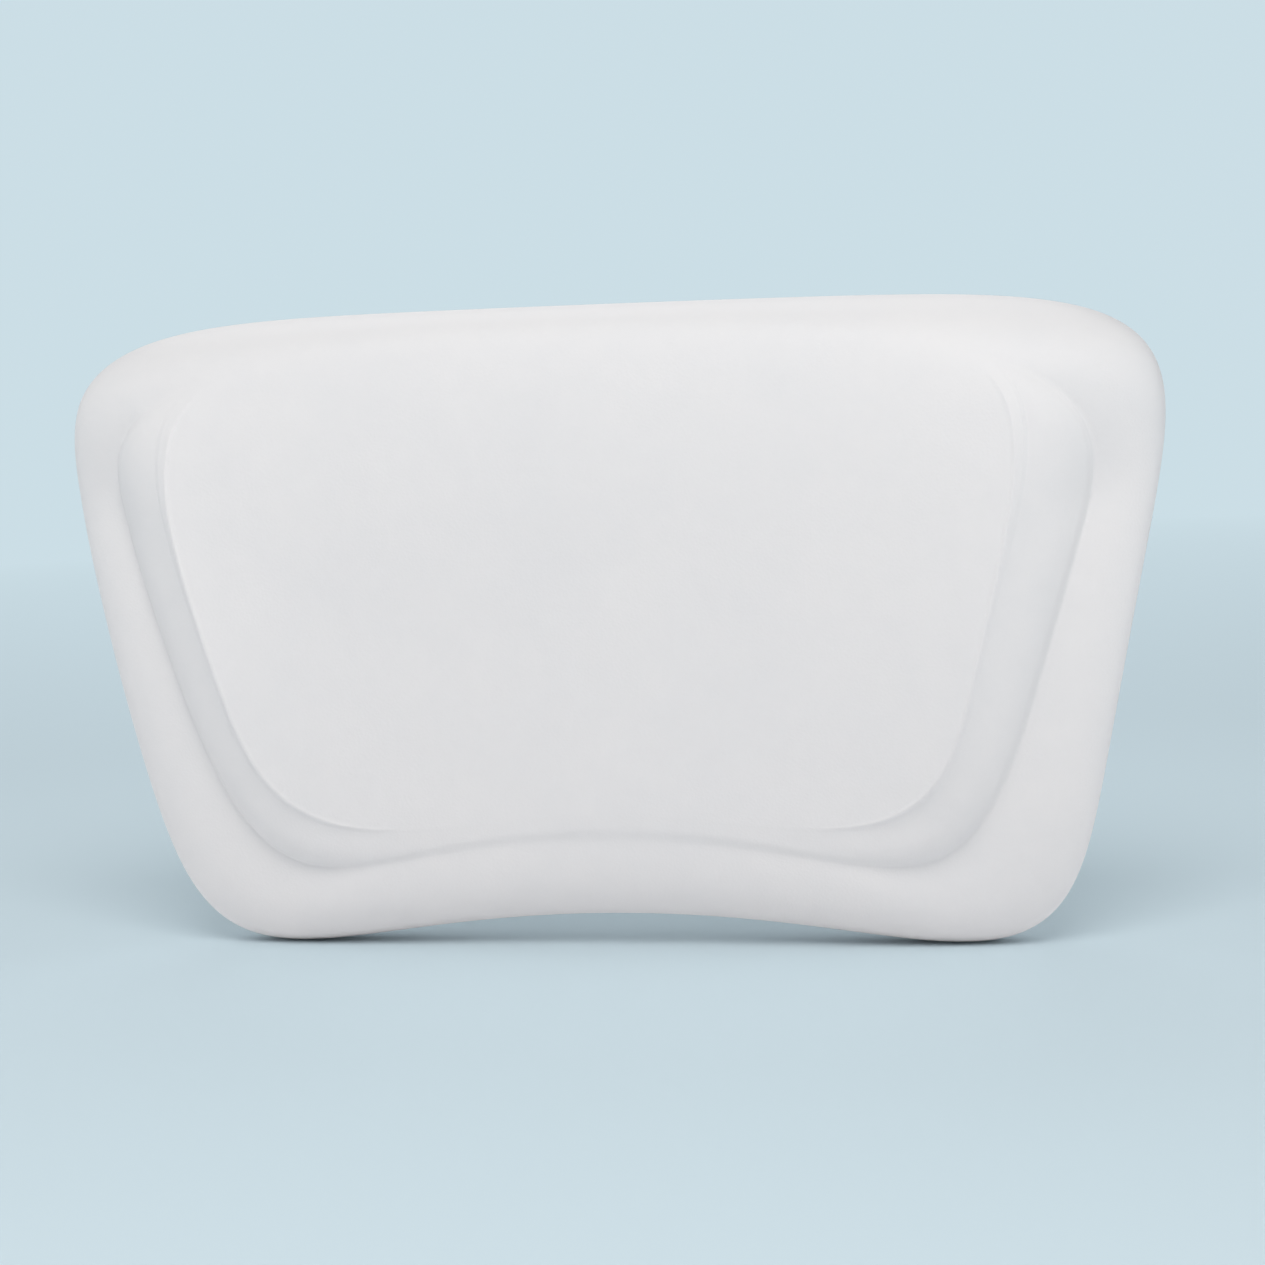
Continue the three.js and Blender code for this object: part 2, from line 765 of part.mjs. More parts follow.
const skinFinish = { color: '#e9eaeb', roughness: 0.52, metalness: 0 };
const foamFinish = { color: '#efe9d9', roughness: 0.9, metalness: 0 };
const mouldedFinish = { color: '#dde1e2', roughness: 0.42, metalness: 0 };
const plateFinish = { color: '#d5d9da', roughness: 0.5, metalness: 0 };
const cupFinish = { color: '#d9e4ea', roughness: 0.22, metalness: 0 };

function named(name, geometry, finish) {
  const mesh = new THREE.Mesh(geometry, new THREE.MeshStandardMaterial(finish));
  mesh.name = name;
  return mesh;
}

const cups = [
  { name: 'upper_left', x: -upperCupX, z: upperCupZ },
  { name: 'upper_right', x: upperCupX, z: upperCupZ },
  { name: 'lower_left', x: -lowerCupX, z: lowerCupZ },
  { name: 'lower_right', x: lowerCupX, z: lowerCupZ },
];

const pillow = new THREE.Group();
pillow.add(named('front_skin', frontSkin(), skinFinish));
pillow.add(named('back_skin', backSkin(cups), skinFinish));
pillow.add(named('foam_core', foamCore(cups), foamFinish));
pillow.add(named('insert_plate', insertPlate(cups), plateFinish));
for (const cup of cups) {
  pillow.add(named(`${cup.name}_socket`, cupSocket(cup), mouldedFinish));
  pillow.add(named(`${cup.name}_socket_cap`, socketCap(cup), mouldedFinish));
  const hanging = new THREE.Group();
  hanging.position.set(cup.x, 0, cup.z);
  hanging.add(named(`${cup.name}_stem`, cupStem(), mouldedFinish));
  hanging.add(named(`${cup.name}_suction_cup`, suctionCup(), cupFinish));
  pillow.add(hanging);
}

export default pillow;
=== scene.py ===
import math

import bmesh
import bpy
import numpy as np
from bpy.props import FloatProperty, FloatVectorProperty, IntProperty, PointerProperty
from mathutils import Matrix, Vector
from mathutils.geometry import delaunay_2d_cdt


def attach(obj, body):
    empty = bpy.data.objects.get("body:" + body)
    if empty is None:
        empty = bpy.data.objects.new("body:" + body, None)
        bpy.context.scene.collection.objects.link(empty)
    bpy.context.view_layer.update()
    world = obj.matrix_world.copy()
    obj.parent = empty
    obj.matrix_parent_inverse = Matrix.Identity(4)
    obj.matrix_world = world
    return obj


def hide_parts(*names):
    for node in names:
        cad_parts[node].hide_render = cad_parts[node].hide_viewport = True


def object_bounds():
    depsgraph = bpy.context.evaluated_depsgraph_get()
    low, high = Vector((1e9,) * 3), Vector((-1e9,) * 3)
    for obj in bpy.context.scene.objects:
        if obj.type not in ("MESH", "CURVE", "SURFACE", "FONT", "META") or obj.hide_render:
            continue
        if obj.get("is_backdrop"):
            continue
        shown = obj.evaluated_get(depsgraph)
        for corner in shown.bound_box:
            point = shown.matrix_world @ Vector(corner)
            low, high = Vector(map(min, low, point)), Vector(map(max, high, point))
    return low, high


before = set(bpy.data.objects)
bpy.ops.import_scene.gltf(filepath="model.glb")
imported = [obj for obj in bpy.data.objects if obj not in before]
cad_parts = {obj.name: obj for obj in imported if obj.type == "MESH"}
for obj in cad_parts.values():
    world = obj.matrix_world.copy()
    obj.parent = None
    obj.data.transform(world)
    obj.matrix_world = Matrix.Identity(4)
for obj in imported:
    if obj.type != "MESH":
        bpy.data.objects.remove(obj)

bl_info = {
    "name": "Bath pillow",
    "version": (1, 0, 0),
    "blender": (4, 5, 0),
    "location": "3D View > Sidebar > Bath pillow",
    "description": "Moulded foam bath pillow with suction cups in keyhole sockets, on a plain stage",
    "category": "Add Mesh",
}

MM = 0.001
CORNERS = ("upper_left", "upper_right", "lower_left", "lower_right")

# Knots of the front's profile, and the stations that its mesh keeps between its marks
RIM_KNOTS, BAND_KNOTS, PANEL_KNOTS = 19, 13, 61
STATION_COUNTS = (24, 14, 12, 22, 8, 42)

# Shares of the profile: where the rim starts to sink, what is left of the foot's step in the middle,
# how far the panel is carried on past the middle, and where its softness ends behind its edge
VALLEY_START_SHARE = 0.35
MIDDLE_STEP_SHARE = 0.5
PAST_MIDDLE_SHARE = 0.25
EDGE_SOFT_SHARES = (0.9, 0.97)

# Scales share * (1 - share) ** 2 so that its highest value is 1
SWELL_SCALE = 27 / 4

# Knots that the underside of the front keeps, and the share of the skin that each is lowered by
UNDER_KNOTS = (0, 9, 18, 23, 28, 44, 60)
UNDER_SHARES = (0, 0.8, 1.2, 1.2, 1.2, 1, 1)

# Length of outline that one radian of bend counts for when directions are spread
BEND_LENGTH = 60 * MM

# Rings of the floor, and where it fades into the backdrop, in metres
FLOOR_RADII = (0.5, 1.5, 6.0)
FLOOR_FADE = (0.5, 1.6)
SOFT_TINT = (0.97, 0.985, 1.0, 1.0)


# Properties


def length(label, text, millimetres):
    """A length, with its default given in millimetres."""
    return FloatProperty(name=label, description=text, default=millimetres * MM, min=0.0,
                         precision=5, unit="LENGTH", subtype="DISTANCE")


def number(label, text, value, low=0.0):
    """A plain number such as a power or a share."""
    return FloatProperty(name=label, description=text, default=value, min=low, precision=4)


def angle(label, text, degrees):
    """An angle, with its default given in degrees."""
    return FloatProperty(name=label, description=text, default=math.radians(degrees),
                         unit="ROTATION", subtype="ANGLE")


def colour(label, text, red, green, blue):
    """A linear colour."""
    return FloatVectorProperty(name=label, description=text, default=(red, green, blue),
                               size=3, min=0.0, max=1.0, subtype="COLOR")


def count(label, text, value):
    """A whole number of rings, directions or ribs."""
    return IntProperty(name=label, description=text, default=value, min=1)


class PillowBody(bpy.types.PropertyGroup):
    """Outline, rim and back of the foam body"""

    top_width: length("Top width", "Width of the outline's trapezoid at the top", 339)
    bottom_width: length("Bottom width", "Width of the outline's trapezoid at the bottom", 256.5)
    height: length("Height", "Height of the outline's trapezoid", 197)
    lower_arch: length("Lower arch", "How far the lower edge arches up in the middle", 21)
    top_crown: length("Top crown", "How far the top edge rises in the middle", 1.4)
    top_power: number("Top power", "Squareness of the upper corners", 6.3)
    bottom_power: number("Bottom power", "Squareness of the lower corners", 5.6)
    parting_bend: length("Parting bend", "How far the parting line bends back at top and bottom", 18)
    outline_drop: length("Outline drop", "How far the outline's middle lies below the origin", 7)
    rim_depth: length("Rim depth", "Height of the rim above the parting line", 13.6)
    rim_sweep: angle("Rim sweep", "Arc that the rim turns through", 72)
    top_sweep: angle("Top sweep", "Arc that the rim turns through where the steps have faded", 84)
    back_depth: length("Back depth", "From the middle of the parting line to the back", 27)
    back_round: length("Back rounding", "Radius of the edge of the back", 8)
    wall_draft: length("Wall draft", "How far the side wall leans in", 1.5)
    back_lean: number("Back lean", "Share by which the back is shifted upwards", 0.12)
    back_gap: length("Back gap", "Room between the back and the tub wall", 4)
    skin: length("Skin", "Thickness of the skin", 2)
    parting_gap: length("Parting gap", "Seam between the halves of the skin", 0.3)


class PillowRelief(bpy.types.PropertyGroup):
    """The two steps and the dished panel of the front"""

    foot_top_side: length("Foot top side", "Foot line inside the outline, sides at the top", 12.7)
    foot_bottom_side: length("Foot bottom side", "Foot line inside the outline, sides at the bottom", 23.1)
    foot_top: length("Foot top", "Foot line inside the outline's top", 5.1)
    foot_bottom: length("Foot bottom", "Foot line inside the outline's bottom", 25.8)
    foot_arch: length("Foot arch", "Arch of the foot line's lower edge", 20.7)
    foot_top_power: number("Foot top power", "Squareness of the foot line's upper corners", 2.9)
    foot_bottom_power: number("Foot bottom power", "Squareness of the foot line's lower corners", 5.9)
    panel_top_side: length("Panel top side", "Panel edge inside the outline, sides at the top", 35.5)
    panel_bottom_side: length("Panel bottom side", "Panel edge inside the outline, sides at the bottom", 37.6)
    panel_top: length("Panel top", "Panel edge inside the outline's top", 9.5)
    panel_bottom: length("Panel bottom", "Panel edge inside the outline's bottom", 24.4)
    panel_arch: length("Panel arch", "Arch of the panel's lower edge", 29.7)
    panel_top_power: number("Panel top power", "Squareness of the panel's upper corners", 5.3)
    panel_bottom_power: number("Panel bottom power", "Squareness of the panel's lower corners", 2.4)
    foot_step: length("Foot step", "Height of the step up to the pad", 1.0)
    foot_run: length("Foot run", "Width of the step up to the pad", 1.5)
    valley: length("Valley", "How far the rim sinks before the foot of the pad", 1.2)
    shoulder: number("Shoulder", "Share of the band's width by which it swells behind its foot", 0.08)
    rim_flat: number("Rim flatness", "Power below 1 that makes the rim flatter on top", 0.75)
    middle_lift: length("Middle lift", "How far the rim rises towards the middle of the bottom", 2.4)
    valley_near: length("Valley near", "Distance from the middle where the valley begins", 60)
    valley_far: length("Valley far", "Distance from the middle where the valley is whole", 105)
    panel_step: length("Panel step", "Height of the step up to the panel", 0.15)
    panel_run: length("Panel run", "Width of the step up to the panel", 1.1)
    run_limit: number("Run limit", "Largest share of the band's width that a step may take", 0.3)
    bead: length("Bead", "Height of the bead along the panel's edge", 0.5)
    bead_width: length("Bead width", "Width of the bead along the panel's edge", 1.5)
    bead_spread: length("Bead spread", "How much wider the bead is at the upper corners", 2.2)
    bead_low: number("Bead low", "Share of the bead's height that is left at the lower corners", 0.5)
    panel_middle: length("Panel middle", "Height of the panel's middle before the dish", 27)
    panel_tilt: length("Panel tilt", "How much further out the panel's top lies than its middle", 10.3)
    panel_crown: length("Panel crown", "Crown of the panel from top to bottom", 17.4)
    dish_depth: length("Dish depth", "Depth of the dish in the middle of the panel", 9)
    dish_power: number("Dish power", "Flatness of the dish from side to side", 4)
    dish_fall: number("Dish fall", "How quickly the dish ends towards the top and the bottom", 1.8)
    roll_drop: length("Roll drop", "How far the panel rolls back at the top", 7)
    roll_start: length("Roll start", "Height where the panel begins to roll back", 42)
    fade_start: length("Fade start", "Height where the steps begin to fade", 66)
    fade_end: length("Fade end", "Height where the steps are gone", 86)
    lift_start: length("Lift start", "Height where the rolled top edge begins to lift", 38)
    lift_end: length("Lift end", "Height where the rolled top edge is fully lifted", 92)
    middle_share: number("Middle share", "Share of the steps and the valley that is left in the middle", 0.25)
    side_near: length("Side near", "Distance from the middle where the panel step begins", 51)
    side_far: length("Side far", "Distance from the middle where the panel step is whole", 80)
    crisp: length("Crisp rounding", "Rounding of the two steps", 0.5)
    mild: length("Mild rounding", "Rounding of the steps in the middle of the bottom", 1.6)
    soft: length("Soft rounding", "Rounding where the steps have faded", 5)


class CupHolders(bpy.types.PropertyGroup):
    """Suction cups, their stems and the sockets in the back"""

    upper_x: length("Upper cups, aside", "Upper cups, distance from the middle", 104)
    upper_z: length("Upper cups, height", "Upper cups, height above the origin", 38.02)
    lower_x: length("Lower cups, aside", "Lower cups, distance from the middle", 64)
    lower_z: length("Lower cups, depth", "Lower cups, distance below the origin", 29.94)
    travel: length("Travel", "How far a stem slides in its keyhole", 10)
    cup_radius: length("Cup radius", "Radius of a suction cup", 23)
    seal_width: length("Seal width", "Width of the flat seal at the cup's rim", 2.5)
    rim_thickness: length("Rim thickness", "Thickness of the cup at its rim", 1)
    bell_depth: length("Bell depth", "Depth of the hollow bell", 7)
    bell_power: number("Bell power", "Curve of the hollow bell", 2.2)
    dome_wall: length("Dome wall", "Thickness of the cup at its middle", 1.6)
    dome_power: number("Dome power", "Curve of the cup's back", 1.5)
    boss_radius: length("Boss radius", "Radius of the boss on the cup's back", 7.2)
    cup_floor: length("Cup floor", "Thickness of the floor under the bulb", 2)
    neck_lip: length("Neck lip", "Thickness of the lip that holds the bulb", 1.4)
    tab_length: length("Tab length", "How far the pull tab stands out", 8)
    tab_width: length("Tab width", "Width of the pull tab", 11)
    tab_thickness: length("Tab thickness", "Thickness of the pull tab", 1.4)
    tab_offset: length("Tab offset", "Room between the pull tab and the tub wall", 0.6)
    tab_rib: length("Tab rib", "Height of a rib on the pull tab", 0.5)
    tab_ribs: count("Tab ribs", "How many ribs the pull tab has", 3)
    bulb_radius: length("Bulb radius", "Radius of the stem's bulb", 4.2)
    bulb_height: length("Bulb height", "Height of the stem's bulb", 2.4)
    shank_radius: length("Shank radius", "Radius of the stem's shank", 3)
    collar_radius: length("Collar radius", "Radius of the stem's collar", 5.6)
    collar_thickness: length("Collar thickness", "Thickness of the stem's collar", 1.5)
    head_radius: length("Head radius", "Radius of the stem's head", 6)
    head_thickness: length("Head thickness", "Thickness of the stem's head", 2.8)
    play: length("Play", "Clearance between the moving parts", 0.3)
    well_radius: length("Well radius", "Inner radius of a socket's well", 26)
    well_wall: length("Well wall", "Thickness of the well's wall", 2)
    well_chamfer: length("Well chamfer", "Rounding at the well's mouth", 0.8)
    lip_width: length("Lip width", "Width of the lip on the back skin", 2.6)
    lip_thickness: length("Lip thickness", "Thickness of the lip", 1.2)
    floor_thickness: length("Floor thickness", "Thickness of the well's floor", 2.4)
    entry_play: length("Entry play", "Room round the stem's head in the keyhole's entry", 0.6)
    chamber_play: length("Chamber play", "Room round the stem's head in the chamber", 0.7)
    chamber_wall: length("Chamber wall", "Thickness of the chamber's wall", 1.8)
    chamber_depth: length("Chamber depth", "Depth of the chamber", 7)
    edge: length("Edge rounding", "Rounding of moulded edges", 0.4)


class PillowFineness(bpy.types.PropertyGroup):
    """How finely the surfaces are divided"""

    half_turn: count("Half turn", "Directions in half a turn of the body", 200)
    ring_points: count("Ring points", "Points round a socket", 192)
    lathe_steps: count("Lathe steps", "Steps round a cup", 96)
    stem_steps: count("Stem steps", "Steps round a stem", 64)
    sample: length("Sample", "Distance between the samples of a profile", 0.25)


class PillowFinish(bpy.types.PropertyGroup):
    """Colours and grain of the materials"""

    skin: colour("Skin", "Colour of the foam's skin", 0.80, 0.80, 0.805)
    skin_low: colour("Skin, low", "Colour of the skin's faint clouds", 0.775, 0.78, 0.79)
    skin_roughness: number("Skin roughness", "Roughness of the skin", 0.5)
    grain: length("Grain", "Size of a pebble of the skin's grain", 0.8)
    grain_height: length("Grain height", "Height of the skin's grain", 0.03)
    plastic: colour("Plastic", "Colour of the sockets and stems", 0.66, 0.70, 0.71)
    plastic_low: colour("Plastic, low", "Colour of the flow marks in the plastic", 0.60, 0.645, 0.66)
    insert: colour("Insert", "Colour of the plate in the foam", 0.55, 0.58, 0.60)
    vinyl: colour("Vinyl", "Colour of the suction cups", 0.70, 0.83, 0.88)
    vinyl_low: colour("Vinyl, low", "Colour of the cloudy parts of the cups", 0.62, 0.77, 0.84)


class PillowStage(bpy.types.PropertyGroup):
    """Camera, lamps and floor"""

    azimuth: angle("Azimuth", "Camera's turn to the right of the front", 13.2)
    elevation: angle("Elevation", "Camera's height above the level", 5.5)
    roll: angle("Roll", "Camera's turn about its own axis", 2.32)
    distance: length("Distance", "From the camera to the target", 990)
    lens: number("Lens", "Focal length for a sensor of 36 mm", 98)
    target_y: length("Target depth", "How far the target lies in front of the tub wall", 31)
    target_z: length("Target height", "Height of the target", 5.46)
    shift_x: number("Shift across", "Sideways shift of the picture, as a share of its width", 0.0218)
    shift_y: number("Shift down", "Downward shift of the picture, as a share of its width", 0.0179)
    light_above: number("Light above", "Strength of the soft light from above", 0.02)
    light_below: number("Light below", "Strength of the soft light from below", 0.24)
    light_aside: number("Light aside", "How much stronger the soft light is from the sides", 1.05)
    light_upright: number("Light upright", "How much stronger it is from straight above and below", 0.42)
    key_power: number("Key power", "Power of the lamp above and to the right, in watts", 13.5)
    front_power: number("Front power", "Power of the lamp in front, in watts", 0.3)
    back_power: number("Back power", "Power of the lamp behind, in watts", 4.0)
    pale: colour("Pale", "Colour of the floor and the backdrop", 0.60, 0.73, 0.79)
    bounce: colour("Bounce", "Colour of the light that the floor throws back", 0.88, 0.90, 0.92)


# Outlines


def blend(low, high, share):
    """Straight blend from low to high."""
    return low + (high - low) * share


def smooth(value, low, high):
    """Rises from 0 at low to 1 at high, level at both ends."""
    share = np.clip((value - low) / (high - low), 0.0, 1.0)
    return share * share * (3 - 2 * share)


def signed_power(value, power):
    """The value's size raised to a power, with its sign kept."""
    return np.sign(value) * np.abs(value) ** power


def body_line(body):
    """Outline of the body at its parting line."""
    return dict(top_width=body.top_width, bottom_width=body.bottom_width, top=body.height / 2,
                bottom=-body.height / 2, arch=body.lower_arch, crown=body.top_crown,
                top_power=body.top_power, bottom_power=body.bottom_power)


def foot_line(body, relief):
    """Foot line of the raised pad."""
    return dict(top_width=body.top_width - 2 * relief.foot_top_side,
                bottom_width=body.bottom_width - 2 * relief.foot_bottom_side,
                top=body.height / 2 - relief.foot_top, bottom=relief.foot_bottom - body.height / 2,
                arch=relief.foot_arch, crown=body.top_crown,
                top_power=relief.foot_top_power, bottom_power=relief.foot_bottom_power)


def panel_line(body, relief):
    """Edge line of the head panel."""
    return dict(top_width=body.top_width - 2 * relief.panel_top_side,
                bottom_width=body.bottom_width - 2 * relief.panel_bottom_side,
                top=body.height / 2 - relief.panel_top, bottom=relief.panel_bottom - body.height / 2,
                arch=relief.panel_arch, crown=body.top_crown,
                top_power=relief.panel_top_power, bottom_power=relief.panel_bottom_power)


def drawn_in(line, inset):
    """The same outline drawn in on all sides."""
    return dict(line, top_width=line["top_width"] - 2 * inset,
                bottom_width=line["bottom_width"] - 2 * inset,
                top=line["top"] - inset, bottom=line["bottom"] + inset)


def outline_points(line, turn):
    """A rounded trapezoid: cosine and sine of the turn, each raised to 2 over a power that changes with
    height, times a half width that changes with height. The lower edge arches and the top is crowned by
    one minus the square of the share across."""
    across, up = np.cos(turn), np.sin(turn)
    power = blend(line["bottom_power"], line["top_power"], (up + 1) / 2)
    wide = signed_power(across, 2 / power)
    high = signed_power(up, 2 / power)
    half_width = blend(line["bottom_width"], line["top_width"], (high + 1) / 2) / 2
    middle = (line["top"] + line["bottom"]) / 2
    reach = (line["top"] - line["bottom"]) / 2
    arch = line["arch"] * (1 - wide ** 2) * ((1 - high) / 2) ** 3
    crown = line["crown"] * (1 - wide ** 2) * ((1 + high) / 2) ** 3
    return np.stack([wide * half_width, middle + high * reach + arch + crown], -1)


def outline_toward(line, directions):
    """Points of an outline in the given directions from the origin, found by halving the turn."""
    low = directions - np.pi / 2
    high = directions + np.pi / 2
    for _ in range(48):
        middle = (low + high) / 2
        point = outline_points(line, middle)
        seen = np.arctan2(point[..., 1], point[..., 0]) - directions
        ahead = np.arctan2(np.sin(seen), np.cos(seen)) > 0
        high = np.where(ahead, middle, high)
        low = np.where(ahead, low, middle)
    return outline_points(line, (low + high) / 2)


def half_turn_directions(line, steps):
    """Directions from the top middle down the right side to the bottom middle, evenly spaced along the
    outline with the corners stretched by their bend."""
    angles = np.linspace(np.pi / 2, -np.pi / 2, 2881)
    points = outline_toward(line, angles)
    side = np.diff(points, axis=0)
    heading = np.unwrap(np.arctan2(side[:, 1], side[:, 0]))
    bend = np.abs(np.diff(heading, prepend=heading[0]))
    reached = np.concatenate([[0.0], np.cumsum(np.hypot(side[:, 0], side[:, 1]) + BEND_LENGTH * bend)])
    return np.interp(np.linspace(0, reached[-1], steps + 1), reached, angles)


def mirrored(rings):
    """Closes rings that run down the right side with their mirror image on the left."""
    left = rings[:, -2:0:-1] * np.array([-1.0, 1.0, 1.0])
    return np.concatenate([rings, left], 1)


# Meshes


def grid_faces(first, next_one):
    """Quads between two closed rings of vertex numbers, or triangles where one of them is a pole."""
    if len(first) == 1:
        return np.stack([np.repeat(first, len(next_one)), np.roll(next_one, -1), next_one], -1)
    if len(next_one) == 1:
        return np.stack([first, np.roll(first, -1), np.repeat(next_one, len(first))], -1)
    return np.stack([first, np.roll(first, -1), np.roll(next_one, -1), next_one], -1)


def loft(rings, loop=False):
    """Joins rings, each an array of points and a pole where it holds one, into vertices and faces."""
    starts = np.cumsum([0] + [len(ring) for ring in rings])
    numbers = [np.arange(starts[i], starts[i + 1]) for i in range(len(rings))]
    pairs = list(zip(numbers, numbers[1:]))
    if loop:
        pairs.append((numbers[-1], numbers[0]))
    faces = [grid_faces(a, b) for a, b in pairs]
    quads = [f for f in faces if f.shape[1] == 4]
    triangles = [f for f in faces if f.shape[1] == 3]
    return (np.concatenate(rings),
            np.concatenate(quads) if quads else np.zeros((0, 4), int),
            np.concatenate(triangles) if triangles else np.zeros((0, 3), int))


def joined(parts):
    """Joins several sets of vertices and faces into one, with vertices at the same place merged."""
    vertices, quads, triangles, start = [], [], [], 0
    for points, fours, threes in parts:
        vertices.append(points)
        quads.append(fours + start)
        triangles.append(threes + start)
        start += len(points)
    points = np.concatenate(vertices)
    keys = np.round(points / 1e-7).astype(np.int64)
    _, first, place = np.unique(keys, axis=0, return_index=True, return_inverse=True)
    place = place.reshape(-1)
    return points[first], place[np.concatenate(quads)], place[np.concatenate(triangles)]


def facing_out(points, quads, triangles):
    """Turns the faces round where the volume that they enclose comes out negative."""
    split = np.concatenate([quads[:, [0, 1, 2]], quads[:, [0, 2, 3]], triangles])
    a, b, c = (points[split[:, i]] for i in range(3))
    if np.einsum("ij,ij->", a, np.cross(b, c)) < 0:
        return points, quads[:, ::-1], triangles[:, ::-1]
    return points, quads, triangles


def piece(name, shape, body, material, sharp=40.0):
    """Makes an object of a closed shape, lets it ride on a body and gives it its finish."""
    points, quads, triangles = facing_out(*shape)
    mesh = bpy.data.meshes.new(name)
    mesh.vertices.add(len(points))
    mesh.vertices.foreach_set("co", points.astype(np.float32).ravel())
    corners = np.concatenate([quads.ravel(), triangles.ravel()]).astype(np.int32)
    starts = np.concatenate([np.arange(len(quads)) * 4, len(quads) * 4 + np.arange(len(triangles)) * 3])
    mesh.loops.add(len(corners))
    mesh.loops.foreach_set("vertex_index", corners)
    mesh.polygons.add(len(starts))
    mesh.polygons.foreach_set("loop_start", starts.astype(np.int32))
    mesh.update(calc_edges=True)
    if mesh.validate():
        raise RuntimeError(f"{name} has faulty faces")
    mesh.polygons.foreach_set("use_smooth", np.ones(len(starts), bool))
    mesh.set_sharp_from_angle(angle=math.radians(sharp))
    mesh.materials.append(material)
    thing = bpy.data.objects.new(name, mesh)
    bpy.context.scene.collection.objects.link(thing)
    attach(thing, body)
    return thing


# Front of the body


def parting_height(body, z):
    """Height of the parting line: it bends back with the square of the distance from the middle."""
    return -body.parting_bend * (z / (body.height / 2)) ** 2


def relief_fade(relief, z):
    """1 where the steps are whole, 0 where they have faded towards the top."""
    return 1 - smooth(z, relief.fade_start, relief.fade_end)


def panel_fade(relief, x, z):
    """As relief_fade, and fading towards the middle of the width too, but not wholly."""
    aside = smooth(np.abs(x), relief.side_near, relief.side_far)
    return relief_fade(relief, z) * blend(relief.middle_share, 1.0, aside)


def roll(relief, z):
    """0 along the sides, rising to 1 along the rolled top edge."""
    return smooth(z, relief.lift_start, relief.lift_end)


def foot_height(body, relief, foot):
    """Height of the foot line: a rim's depth above the parting line, a little more in the middle of the
    bottom, and up to the panel's own surface along the rolled top edge."""
    plain = parting_height(body, foot[:, 1]) + body.rim_depth
    plain = plain + relief.middle_lift * (1 - aside_share(relief, foot)) * relief_fade(relief, foot[:, 1])
    return blend(plain, panel_height(body, relief, foot[:, 0], foot[:, 1]), roll(relief, foot[:, 1]))


def aside_share(relief, foot):
    """1 at the sides and a small share in the middle of the bottom."""
    return blend(relief.middle_share, 1.0, smooth(np.abs(foot[:, 0]), relief.valley_near, relief.valley_far))


def panel_height(body, relief, x, z):
    """Height of the head panel: tilted and crowned from top to bottom, dished from side to side."""
    line = panel_line(body, relief)
    up = z / (body.height / 2)
    share = (z - line["bottom"]) / (line["top"] - line["bottom"])
    half_width = blend(line["bottom_width"], line["top_width"], share) / 2
    aside = np.minimum(1.0, np.abs(x) / half_width)
    fall = np.maximum(0, 1 - up ** 2) ** relief.dish_fall
    dish = relief.dish_depth * (1 - aside ** relief.dish_power) * fall
    back = np.maximum(0, (z - relief.roll_start) / (body.height / 2 - relief.roll_start)) ** 2
    plain = relief.panel_middle + relief.panel_tilt * up - relief.panel_crown * up ** 2
    return plain - dish - relief.roll_drop * back


def profile_knots(body, relief, directions):
    """Distance from the origin, height, softness and place along the relief, for knots from the parting
    line to the middle: an arc up the rim that sinks into the valley before the foot, the step to the
    pad, the band with its shoulder, the step to the panel, and the panel, carried on past the middle."""
    ray = np.stack([np.cos(directions), np.sin(directions)], -1)
    start = outline_toward(body_line(body), directions)
    foot = outline_toward(foot_line(body, relief), directions)
    edge = outline_toward(panel_line(body, relief), directions)
    start_r, foot_r, edge_r = (np.linalg.norm(p, axis=-1)[:, None] for p in (start, foot, edge))
    foot_fade = relief_fade(relief, foot[:, 1])[:, None]
    edge_fade = panel_fade(relief, edge[:, 0], edge[:, 1])[:, None]
    aside = aside_share(relief, foot)[:, None]

    sweep = blend(body.top_sweep, body.rim_sweep, foot_fade)
    turn = sweep * np.linspace(0, 1, RIM_KNOTS)[None]
    inset = (1 - np.cos(turn)) / (1 - np.cos(sweep))
    rise = (np.sin(turn) / np.sin(sweep)) ** blend(1.0, relief.rim_flat, foot_fade)
    foot_base = foot_height(body, relief, foot)[:, None]
    rim_r = blend(start_r, foot_r, inset)
    rim_h = blend(parting_height(body, start[:, 1])[:, None], foot_base, rise)
    rim_h = rim_h - relief.valley * aside * foot_fade * smooth(inset, VALLEY_START_SHARE, 1.0)
    rim_soft = (1 - foot_fade) * rise

    width = foot_r - edge_r
    low = foot_base + relief.foot_step * foot_fade * blend(MIDDLE_STEP_SHARE, 1.0, aside)
    edge_height = panel_height(body, relief, edge[:, 0], edge[:, 1])[:, None]
    high = edge_height - relief.panel_step * edge_fade
    share = np.linspace(0, 1, BAND_KNOTS)[None]
    part = blend(np.minimum(relief.foot_run / width, relief.run_limit),
                 1 - np.minimum(relief.panel_run / width, relief.run_limit), share)
    swell = SWELL_SCALE * share * (1 - share) ** 2
    band_r = blend(foot_r, edge_r, part)
    band_h = blend(low, high, part) + relief.shoulder * aside * width * swell * foot_fade
    band_soft = blend(1 - foot_fade, 1 - edge_fade, part)

    share = np.linspace(1, -PAST_MIDDLE_SHARE, PANEL_KNOTS)[None] + 0 * edge_r
    panel_r = edge_r * share
    x, z = panel_r * ray[:, :1], panel_r * ray[:, 1:]
    panel_h = panel_height(body, relief, x, z)
    panel_soft = np.maximum(1 - edge_fade, 1 - smooth(share, *EDGE_SOFT_SHARES))

    distance = np.concatenate([rim_r, band_r, panel_r], 1)
    height = np.concatenate([rim_h, band_h, panel_h], 1)
    softness = np.concatenate([rim_soft, band_soft, panel_soft], 1)
    return distance, height, softness


def row_interp(query, known, values):
    """Interpolates every row of values at its own known places."""
    offset = (np.arange(len(known)) * (known.max() * 4 + 1))[:, None]
    flat = np.interp((query + offset).ravel(), (known + offset).ravel(), values.ravel())
    return flat.reshape(query.shape)


